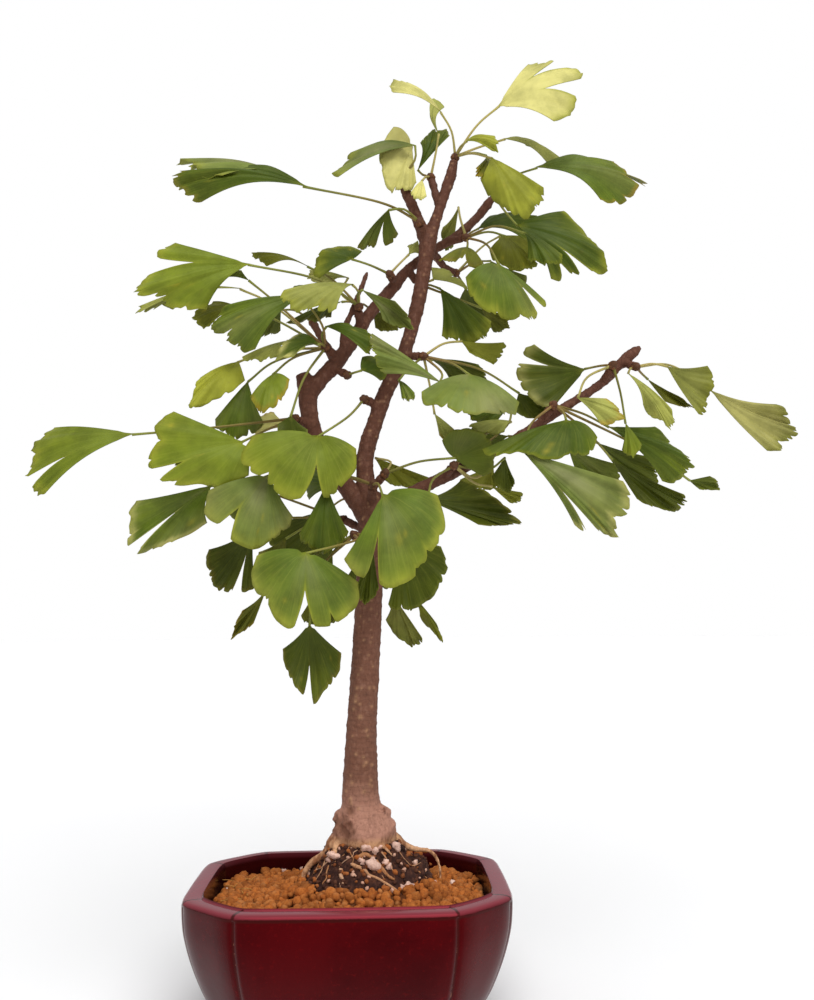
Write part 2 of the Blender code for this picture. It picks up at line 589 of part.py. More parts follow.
def root_path(angle, swing, radius):
    """A root over the mound, from inside the trunk's foot out and down to the soil."""
    points, radii = [], []
    for step, (out, lift, share) in enumerate(ROOT_RUN):
        turn = math.radians(angle + swing * step / (len(ROOT_RUN) - 1))
        x = MOUND_CENTRE[0] + out * math.cos(turn) * MOUND_HALF[0] / 34
        y = MOUND_CENTRE[1] + out * math.sin(turn) * MOUND_HALF[1] / 34
        thick = radius * share
        if lift is None:
            height = MOUND_TOP + 9
        else:
            height = mound_height(mound_distance(x, y)) + thick + MOUND_RELIEF + lift
        points.append(Vector((x, y, height)))
        radii.append(thick)
    return points, radii


def make_wood(into, finish):
    pieces = []
    for name, limb in LIMBS.items():
        points = [sight(x, z, y) for x, z, y, radius in limb]
        sides = 9 if name == "trunk" else 6 if limb[0][3] > 3.5 else 4
        pieces.append(tube(name, points, [row[3] for row in limb], into, sides))
    for angle, swing, radius in ROOTS:
        pieces.append(tube("root", *root_path(angle, swing, radius), into, 4))
    for name, spray in SPRAYS.items():
        root, tip = sight(*spray.root), sight(*spray.tip)
        pieces.append(tube(name + "_spur", [root, tip], [2.3, 2.5], into, 4))
    return fuse("tree_wood", pieces, into, finish)


def fan_directions(one):
    """Base, midline and the two side vectors of a blade, and its upward normal."""
    base = sight(*one.base, one.depth)
    middle = sight(*one.middle, one.depth + one.lean) - base
    left = sight(*one.left, one.depth + 0.7 * one.lean + one.turn) - base
    right = sight(*one.right, one.depth + 0.7 * one.lean - one.turn) - base
    normal = (right - left).cross(middle).normalized()
    if normal.z < 0:
        normal = -normal
    across_left = (left - middle * math.cos(SPREAD)) / math.sin(SPREAD)
    across_right = (right - middle * math.cos(SPREAD)) / math.sin(SPREAD)
    return base, middle, across_left, across_right, normal


def blade_point(frame, across, out, phase):
    """A point of the blade: across runs from -1 to 1 and out from 0 at the base to 1."""
    base, middle, across_left, across_right, normal = frame
    side = across_left if across < 0 else across_right
    angle = abs(across) * SPREAD * (NECK + (1 - NECK) * out)
    flat = (middle * math.cos(angle) + side * math.sin(angle)) * out
    length = middle.length
    arch = 0.10 * math.sin(math.pi * out) - 0.05 * abs(across) * out
    wave = 0.035 * out * out * math.sin(2.6 * math.pi * across + phase)
    return base + flat + normal * length * (arch + wave)


def margin(cuts, length, draw):
    """Places across the blade and how far out its edge is there."""
    spans = 8 if length > LARGE_LEAF else 6 if length > SMALL_LEAF else 4
    places = [-1 + 2 * step / spans for step in range(spans + 1)]
    for cut, depth in cuts:
        places = [place for place in places if abs(place - cut) > 1.3 * CUT_WIDTH]
        places += [cut - CUT_WIDTH, cut, cut + CUT_WIDTH]
    rows = []
    for place in sorted(places):
        out = 1 - 0.06 * draw.random() - 0.05 * abs(place) ** 3
        for cut, depth in cuts:
            if place == cut:
                out = 1 - depth
        rows.append((place, out))
    return rows


def make_blade(one, draw, into):
    """The blade, the frame it was drawn in, and a point inside it near its base."""
    frame = fan_directions(one)
    phase = draw.uniform(0, TAU)
    length = frame[1].length
    edge = margin(one.cuts, length, draw)
    bm = bmesh.new()
    tip = bm.verts.new(frame[0])
    rows = []
    for share in BLADE_ROWS if length > SMALL_LEAF else BLADE_ROWS[1:]:
        rows.append([bm.verts.new(blade_point(frame, place, out * share, phase))
                     for place, out in edge])
    for first, second in zip(rows[0], rows[0][1:]):
        bm.faces.new((tip, first, second))
    for lower, upper in zip(rows, rows[1:]):
        for index in range(len(lower) - 1):
            bm.faces.new((lower[index], upper[index], upper[index + 1]))
            bm.faces.new((lower[index], upper[index + 1], lower[index + 1]))
    inner = min(range(1, len(edge)), key=lambda index: abs(edge[index][0]))
    anchor = frame[0].lerp(rows[0][inner].co.lerp(rows[0][inner - 1].co, 0.2), 0.4)
    obj = mesh_object("blade", bm, into)
    solid = obj.modifiers.new("thickness", "SOLIDIFY")
    solid.thickness = BLADE_THICKNESS * MM
    solid.offset = 0
    return applied(obj), frame, anchor


def petiole_path(spray, one, frame, finish):
    """From the collar on the spur to finish, a point inside the blade near its base."""
    root, tip = sight(*spray.root), sight(*spray.tip)
    start = collar_centre(spray)
    base, middle = frame[0], frame[1]
    if one.via:
        return [start, sight(*one.via), finish]
    reach = base - start
    arrival = (1.2 * reach.normalized() + middle.normalized()).normalized()
    bend = base - arrival * min(12, reach.length * 0.35)
    sprung = start.lerp(base, 0.3) + (tip - root).normalized() * reach.length * 0.1
    return [start, bend.lerp(sprung, 0.4), finish]


def collar_centre(spray):
    root, tip = sight(*spray.root), sight(*spray.tip)
    return tip + (tip - root).normalized() * (COLLAR_RADIUS + COLLAR_GAP)


def make_spray(name, spray, order, into, finish):
    bm = bmesh.new()
    bmesh.ops.create_icosphere(bm, subdivisions=1, radius=COLLAR_RADIUS)
    bmesh.ops.translate(bm, vec=collar_centre(spray), verts=bm.verts)
    pieces = [mesh_object("collar", bm, into)]
    for index, one in enumerate(spray.leaves):
        draw = random.Random(SEED + 100 * order + index)
        blade, frame, anchor = make_blade(one, draw, into)
        path = petiole_path(spray, one, frame, anchor)
        radii = [PETIOLE_RADIUS] * (len(path) - 1) + [PETIOLE_RADIUS * 0.7]
        pieces += [blade, tube("petiole", path, radii, into, 3)]
    return fuse(name, pieces, into, finish)


def centre_on_bounds(solids, others):
    """Moves everything so that the origin is under the middle of the solids' bounds."""
    corners = [Vector(corner) for obj in solids for corner in obj.bound_box]
    middle = [(min(corner[axis] for corner in corners) + max(corner[axis] for corner in corners)) / 2
              for axis in (0, 1)]
    for obj in list(solids) + list(others):
        obj.location = (-middle[0], -middle[1], 0)
    bpy.context.view_layer.update()


def main():
    clear_scene()
    parts = collection("ginkgo_bonsai")
    cutters = collection("cutters")
    glaze = material("oxblood_glaze", (0.09, 0.008, 0.006), 0.2)
    granules = material("baked_clay_granules", (0.42, 0.15, 0.035), 0.9)
    peat = material("peat", (0.05, 0.025, 0.015), 0.95)
    bark = material("bark", (0.16, 0.07, 0.045), 0.7)
    green = material("leaf", (0.12, 0.2, 0.03), 0.5)
    make_pot(parts, cutters, glaze)
    make_soil(parts, cutters, granules)
    make_mound(parts, peat)
    make_wood(parts, bark)
    for order, (name, spray) in enumerate(SPRAYS.items()):
        make_spray(name, spray, order, parts, green)
    centre_on_bounds(parts.objects, cutters.objects)


main()
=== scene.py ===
"""The looks of the ginkgo bonsai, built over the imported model.

The tree is laid out on a front elevation, in millimetres: x to the right and z up, as seen
from EYE on the plane y = 0 through the trunk. Each point also has a depth y, positive away
from the viewer, and sight() carries it there along its line of sight.
"""

import math
import random
from collections import namedtuple

import bpy
import numpy as np
from mathutils import Matrix, Vector, kdtree, noise


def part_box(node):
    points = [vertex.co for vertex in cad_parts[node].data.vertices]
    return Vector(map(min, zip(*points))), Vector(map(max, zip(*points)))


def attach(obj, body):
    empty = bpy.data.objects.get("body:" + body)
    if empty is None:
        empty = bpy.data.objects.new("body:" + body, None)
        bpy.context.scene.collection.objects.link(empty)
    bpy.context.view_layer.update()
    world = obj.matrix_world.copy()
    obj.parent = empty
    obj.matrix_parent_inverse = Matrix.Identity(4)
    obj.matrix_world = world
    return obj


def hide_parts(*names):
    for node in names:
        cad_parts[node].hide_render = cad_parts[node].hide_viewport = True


MM = 0.001
TAU = 2 * math.pi
SEED = 20
EYE = np.array([17.7, -587.8, 223.8])

# The photograph's camera: focal length and image size in pixels, and its turn in degrees.
IMAGE = (814, 1000)
FOCAL = 974.69
SENSOR = 36.0
CAMERA_YAW = -1.67
CAMERA_PITCH = -6.67
CAMERA_ROLL = -0.44

# Pot, as in the part's source.
POT_HALF_LENGTH = 90.0
POT_HALF_DEPTH = 70.0
FRONT_HALF = 58.7
END_HALF = 42.0
SIDE_BOW = 1.4
CREASE = 1.1
CREASE_WIDTH = 3.5
ROUND = 1.5
ROUND_WIDTH = 12.0
# (height, inset) up the outside, over the rim and down the inside.
POT_RINGS = [
    (6.0, 25.0), (8.5, 20.0), (16.0, 14.2), (26.0, 9.4), (40.0, 4.4), (54.0, 1.0), (66.0, 0.0),
    (70.4, 0.3), (71.8, 2.0), (72.0, 6.0), (71.6, 9.8), (70.0, 11.4), (40.0, 13.0), (18.0, 19.0),
    (12.0, 26.0),
]
CREASED_HEIGHTS = (8.5, 69.5)
POT_HEIGHT = 72.0
RIM_LINE = 69.3
FOOT_SIZE = (26.0, 17.0, 9.0)
FOOT_CENTRE = (44.0, 30.0)
FOOT_EDGE = 1.6
DRAIN_RADIUS = 6.0
DRAIN_X = 25.0

SOIL_WALL = [(12.4, 26.6), (18.3, 19.5), (40.0, 13.5)]
SOIL_LEVEL = 61.5
SOIL_EDGE = 12.4
# The soil rises towards the mound, and a heap of it lies against the mound's foot.
SOIL_RISE = 4.0
SOIL_RISE_REACH = 14.0
HEAP_RISE = 5.5
HEAP_REACH = 8.0
GRANULE_PITCH = 4.4
GRANULE_ROW = 0.87 * GRANULE_PITCH
GRANULE_LAYERS = ((-0.9, 1.0), (0.9, 0.72))  # height over the soil and share of places filled
GRANULE_SIZES = (1.6, 1.9, 2.2, 2.5, 2.9, 3.5)
JITTER = 1.3
WHITE_SHARE = 0.012
STRAWS = 14

MOUND_CENTRE = (8.5, 0.0)
MOUND_HALF = (38.0, 31.0)
MOUND_RINGS = [(1.08, 65.5), (1.0, 66.0), (0.93, 71.5), (0.80, 77.0), (0.65, 81.0), (0.52, 83.5),
               (0.0, 84.5)]
# Peat heaped against the trunk and on the mound's right shoulder: height, middle and reach.
COLLAR_HEAP = (8.5, 0.5, 0.17)
SHOULDER_HEAP = (10.0, (44.0, 2.0), (7.0, 13.0))

PEAT_RINGS = 40
PEAT_COLUMNS = 180
CRUMB_COUNT = 700
DRY_ROOT_COUNT = 26

# On the elevation, as seen on the mound: stones (x, z, size), crumbs of clay and thin roots.
STONES = [(-9, 84, 2.9), (2, 90.5, 2.4), (-3, 91, 1.9), (10, 88, 3.0), (14.5, 86, 2.1),
          (17.5, 88.5, 2.1), (27, 88, 3.2), (7, 80, 2.2), (13.5, 78, 3.6), (21, 80, 1.7),
          (23, 77.5, 2.2), (38, 79.5, 1.7), (34, 66, 2.4), (37.5, 66.5, 2.0), (30.5, 65.5, 1.8),
          (48, 68.5, 1.8), (60, 72, 2.2), (-28, 77, 1.8), (-38, 76, 1.8), (-12, 82, 1.9)]
CLODS = [(22, 88, 2.2), (40, 84, 3.2), (47, 79, 2.0), (4, 83, 1.6), (35, 85, 1.9), (33, 87, 1.6),
         (20.5, 65, 2.3), (17, 75, 1.7), (-3, 74, 1.3), (26, 74, 1.9), (44, 86, 1.8), (8, 73, 1.2)]
THIN_ROOTS = [
    (1.15, [(5, 83), (9, 84.5), (13, 82.5), (17, 79), (20, 75), (23, 71.5), (26, 70)]),
    (1.05, [(1, 79), (5, 77.5), (9, 75.5), (11, 73), (16, 71), (21, 68), (25, 65.5), (28, 63.5)]),
    (0.6, [(12, 84), (16, 81), (18, 77), (21, 73), (24, 72), (26.5, 69)]),
    (1.3, [(-5, 76.5), (-5.5, 73.5), (-4.5, 71), (-4, 68)]),
    (0.5, [(37, 78.5), (38.5, 76), (41, 74), (44, 71.5), (46, 70)]),
    (0.4, [(43.5, 75), (44.5, 72.5), (46, 70.5)]),
    (0.5, [(42.5, 88), (43.5, 85), (44.5, 83)]),
    (0.4, [(24, 66.5), (25.5, 64.5), (26, 62.5)]),
    (0.35, [(-6, 69), (-5.5, 67), (-6, 65)]),
]

# Leaves. Half a blade spans between the narrowest and the widest angle, and from FOLDED_SPAN to
# ROUND_SPAN its shoulder fills out. A blade lifts off its plane by shares of its length: it
# arches, droops at the sides, waves, ruffles and creases.
BLADE_THICKNESS = 0.4
NARROWEST = math.radians(14)
WIDEST = math.radians(80)
FOLDED_SPAN = 0.5
ROUND_SPAN = 1.15
ARCH = 0.10
DROOP = 0.05
WAVE = 0.035
RUFFLE = 0.012
CREASING = 0.004
NICK_WIDTH = 0.035
VEIN_SPREAD = math.radians(72)
RIM_REACH = {"lime": 9.0, "yellow": 9.0, "blue": 6.0, "olive": 6.0}
PETIOLE_RADIUS = 0.75
PETIOLE_SIDES = 8
COLLAR_RADIUS = 2.6
SCALE_RADIUS = 1.25
SCALES = 6

# Colours as they look on the screen, 0 to 255.
COLOURS = {
    # The leaf tones yellow and lime are the leaves' own colours with a painted glow of light
    # shining through them.
    "yellow": (220, 212, 128), "lime": (160, 162, 50), "pale": (156, 158, 78),
    "blue": (110, 125, 52), "bright": (113, 127, 28), "mid": (88, 107, 22),
    "dark": (66, 84, 8), "deep": (54, 71, 6), "olive": (97, 99, 20),
    "orange": (188, 130, 34), "brown": (108, 76, 30), "bloom": (152, 142, 110),
    "spot": (176, 160, 44), "stalk": (140, 146, 66), "pale stalk": (196, 180, 108),
    "mottle": (64, 84, 24), "vein": (176, 176, 70), "fine vein": (190, 190, 96),
    "speck": (96, 84, 40), "bud": (92, 58, 40), "bud scale": (112, 70, 44),
    # Bark and roots.
    "foot": (172, 124, 104), "trunk": (114, 75, 58), "twig": (92, 56, 41), "furrow": (84, 58, 46),
    "dust": (168, 126, 106), "shaded foot": (112, 74, 54), "root": (204, 156, 116),
    "root shade": (140, 92, 60), "earthy": (116, 76, 54), "spur": (96, 60, 44),
    "pit shade": (100, 62, 42), "pore": (176, 134, 98), "crack": (72, 40, 28), "band": (72, 48, 40),
    "bark patch": (178, 134, 110),
    # Glaze.
    "red": (36, 0, 0), "warm red": (60, 1, 2), "fleck": (86, 5, 4), "rim": (136, 58, 68),
    "inner wall": (34, 8, 8), "thin glaze": (38, 14, 10), "bare edge": (118, 82, 66),
    "gleam": (255, 76, 92),
    # Soil and mound.
    "shaded soil": (96, 52, 22), "granule": (168, 96, 40), "pale granule": (196, 122, 58),
    "white grain": (236, 206, 190), "straw": (190, 142, 74), "clay shade": (150, 104, 76),
    "clay dust": (214, 160, 104), "peat": (52, 28, 22), "peat crumb": (96, 58, 40),
    "peat hollow": (176, 140, 120), "pumice": (238, 200, 182), "clod": (168, 98, 46),
    # Floor.
    "floor shade": (246, 246, 247), "floor": (250, 250, 250),
}
STALKS = [(128, 108, 56), (120, 116, 52), (136, 108, 62)]
DRY_ROOTS = [(200, 152, 112), (178, 126, 84), (208, 166, 132)]
CRUMBS = [(56, 32, 24), (70, 40, 30), (48, 28, 22), (132, 78, 44), (164, 98, 50),
          (214, 170, 146), (84, 50, 36), (92, 56, 38)]
BLACK = (0, 0, 0)
SKY_LOW = (0.85, 0.85, 0.88, 1)
SKY_HIGH = (1, 1, 1, 1)
SKY_STRENGTH = 0.56
SUN_STRENGTH = 2.4
SUN_ANGLE = math.radians(55)
SUN_HEADING = (-0.22, 0.85, -1.15)

# A leaf is a fan blade by the elevation points of its base and of its outer edge. tone is its
# colour, and after a slash that of its rim. depth is the base's y. The middle of the outer edge
# lies lean further back, and the left corner turn further back than the right one. cuts lists
# (place across, depth) of clefts, and its stalk passes the point via.
Leaf = namedtuple("Leaf", "tone base depth left middle right lean turn cuts via",
                  defaults=(0, 0, (), None))
# A spray grows from root, on the wood, through the spur's tip. Both are (x, z, y).
Spray = namedtuple("Spray", "root tip leaves")

# Limbs: (x, z, y, radius) on the elevation.
LIMBS = {
    "trunk": [(8.5, 60, 0, 14.2), (8.5, 87, 0, 14.4), (8.8, 92, 0, 17.2), (8.8, 98, 0, 18.3),
              (7.6, 105, 0, 15.2), (6.6, 112, 0, 12), (6.2, 125, 0, 10.4), (7.2, 160, 0, 8.9),
              (9.7, 200, 0, 8.3), (12, 245, 0, 8.0), (13, 285, 0, 7.6), (12.5, 297, 0, 6.6)],
    "leader": [(13, 283, 0, 6.2), (9.5, 310, 0, 5.4), (10.5, 324, 0, 5.2), (17, 345, 0, 4.9),
               (23, 361, 0, 4.8), (32, 379, 0, 4.4), (38, 398, 0, 4.2), (43, 418, 0, 4.5),
               (47, 440, 0, 4.6), (49.5, 456, 0, 5.4), (53, 466, 0, 3.8), (58, 481, 0, 3.2),
               (64, 499, 0, 3.6), (66, 506, 0, 3.0)],
    "leader_left": [(49, 452, 0, 4.2), (45, 464, 0, 3.8), (40, 478, 0, 3.4), (35, 490, 0, 3.2)],
    "left_limb": [(13, 278, 0, 6.0), (0, 298, 1, 5.6), (-14, 318, 2, 5.3), (-22, 335, 2, 5.2),
                  (-25, 350, 3, 5.5), (-26, 362, 4, 6.0), (-29, 371, 4, 4.6)],
    "left_limb_upper": [(-25, 358, 4, 5.0), (-17, 368, 5, 5.0), (-9, 377, 6, 4.8),
                        (0, 389, 8, 4.3), (7, 400, 10, 4.0), (15, 412, 11, 3.7),
                        (28, 427, 14, 3.8), (37, 438, 17, 3.0), (52, 450, 21, 2.8),
                        (66, 458, 21, 3.0), (78, 469, 21, 2.8), (88, 481, 21, 3.0)],
    "shoot": [(-4, 383, 7, 2.6), (-3, 398, 5, 2.2), (2, 412, 3, 1.5), (9, 430, 1, 1.6),
              (11, 436, 1, 0.8)],
    "right_branch": [(13, 280, 0, 5.0), (24, 290, -1, 4.4), (36, 296, -2, 4.0),
                     (52, 304, -3, 3.7), (69, 312, -3, 3.6), (100, 329, -3, 3.2),
                     (133, 350, -3, 2.8), (155, 364, -2, 2.7), (168, 377, -1, 3.2),
                     (176, 384, 0, 3.4), (181, 388, 0, 1.2)],
    "back_low_twig": [(12, 270, 2, 4.2), (10, 282, 18, 3.4), (5, 292, 34, 2.6)],
    "back_left_twig": [(-21, 334, 4, 3.0), (-29, 332, 16, 2.6), (-38, 328, 26, 2.2)],
    "back_upper_twig": [(-8, 377, 8, 3.2), (-14, 388, 22, 2.6), (-20, 398, 34, 2.2)],
    "back_right_twig": [(51, 449, 21, 2.8), (55, 445, 29, 2.6), (60, 438, 38, 2.2)],
    "back_branch_twig": [(108, 334, -1, 2.8), (112, 334, 14, 2.4), (118, 332, 26, 2.2)],
}

LIMB_STEP = 1.5
TRUNK_SIDES = 26
LIMB_SIDES = 16
SPUR_RADIUS = 2.25
WOOD_VOXEL = 0.85
WOOD_SMOOTHING = 3
PORES = 150

# Surface roots behind the trunk: compass angle on the mound, its swing on the way out, radius.
# Each runs through (distance out, height over the mound, share of its radius), and the mound's
# edge is ROOT_REACH out.
ROOT_REACH = 34
BACK_ROOTS = [(95, 14, 2.6), (20, 10, 2.4), (150, -8, 2.6)]
ROOT_RUN = [(13, None, 1.3), (19, 0.4, 1.0), (24, 0.6, 0.9), (28, 0.6, 0.8), (31.5, 0.6, 0.75),
            (34, 0.6, 0.7), (38.5, 0.2, 0.5)]
# In front: (x, z, y, radius) on the elevation.
FRONT_ROOTS = [
    [(2, 99, -2, 4.4), (-5, 96, -3, 4.6), (-9, 92, -4, 4.3), (-11.5, 88, -4, 3.4),
     (-15, 85, -4, 2.5), (-19, 83, -4, 2.1), (-23, 80, -4, 1.9), (-26, 76, -4, 1.7),
     (-27.5, 70, -4, 1.4)],
    [(-7, 91, -8, 2.6), (-8.5, 87, -11, 1.9), (-9, 83, -13, 1.2)],
    [(20, 99, 3, 3.4), (25, 95, 4, 2.7), (29, 91.5, 5, 2.2), (34, 89, 6, 2.0),
     (39, 87.5, 6, 1.6), (45, 87, 5, 1.2), (49, 84.5, 4, 1.1), (51.5, 80, 3, 1.0),
     (52.5, 75, 2, 0.9), (52.5, 70, 1, 0.7)],
    [(16, 92, -12, 1.6), (21, 88, -16, 1.0), (25, 84, -19, 0.7)],
]

# Knobs, bulges and pits of the swollen foot: (x, z, y, size).
KNOBS = [
    (-5, 106, -3, 4.9), (-3.5, 100, -5, 6.0), (-1.5, 108, -8, 3.4), (-5, 97, -8, 3.4),
    (0.5, 104, -12, 2.4), (-3, 103, -11, 2.6), (0, 98, -13, 2.2), (-2.5, 94.5, -10, 2.6),
    (19, 108, -1, 5.0), (21, 101, -2, 6.0), (20.5, 97, -6, 4.4), (12, 95, -16.4, 1.5),
    (20.5, 110.5, -7, 1.5), (4, 93, 15, 4.5), (16, 95, 13, 5.0), (8, 104, 13, 4.0),
    (-4, 101, 9, 4.4),
]
PITS = [
    (0, 109, -10, 1.6), (-4, 104.5, -12, 1.6), (-7, 101.5, -9, 1.8), (-1, 101, -14, 1.6),
    (-5, 98, -12, 1.8), (-1.5, 96, -14, 1.8), (2, 97.5, -15, 1.2), (-8, 106.5, -6, 1.4),
    (22, 93, -9, 2.2), (19.5, 110, -9, 1.0), (-3, 92.5, -13, 2.2), (3, 93, -15, 1.4),
    (24, 96, -5, 1.8),
]

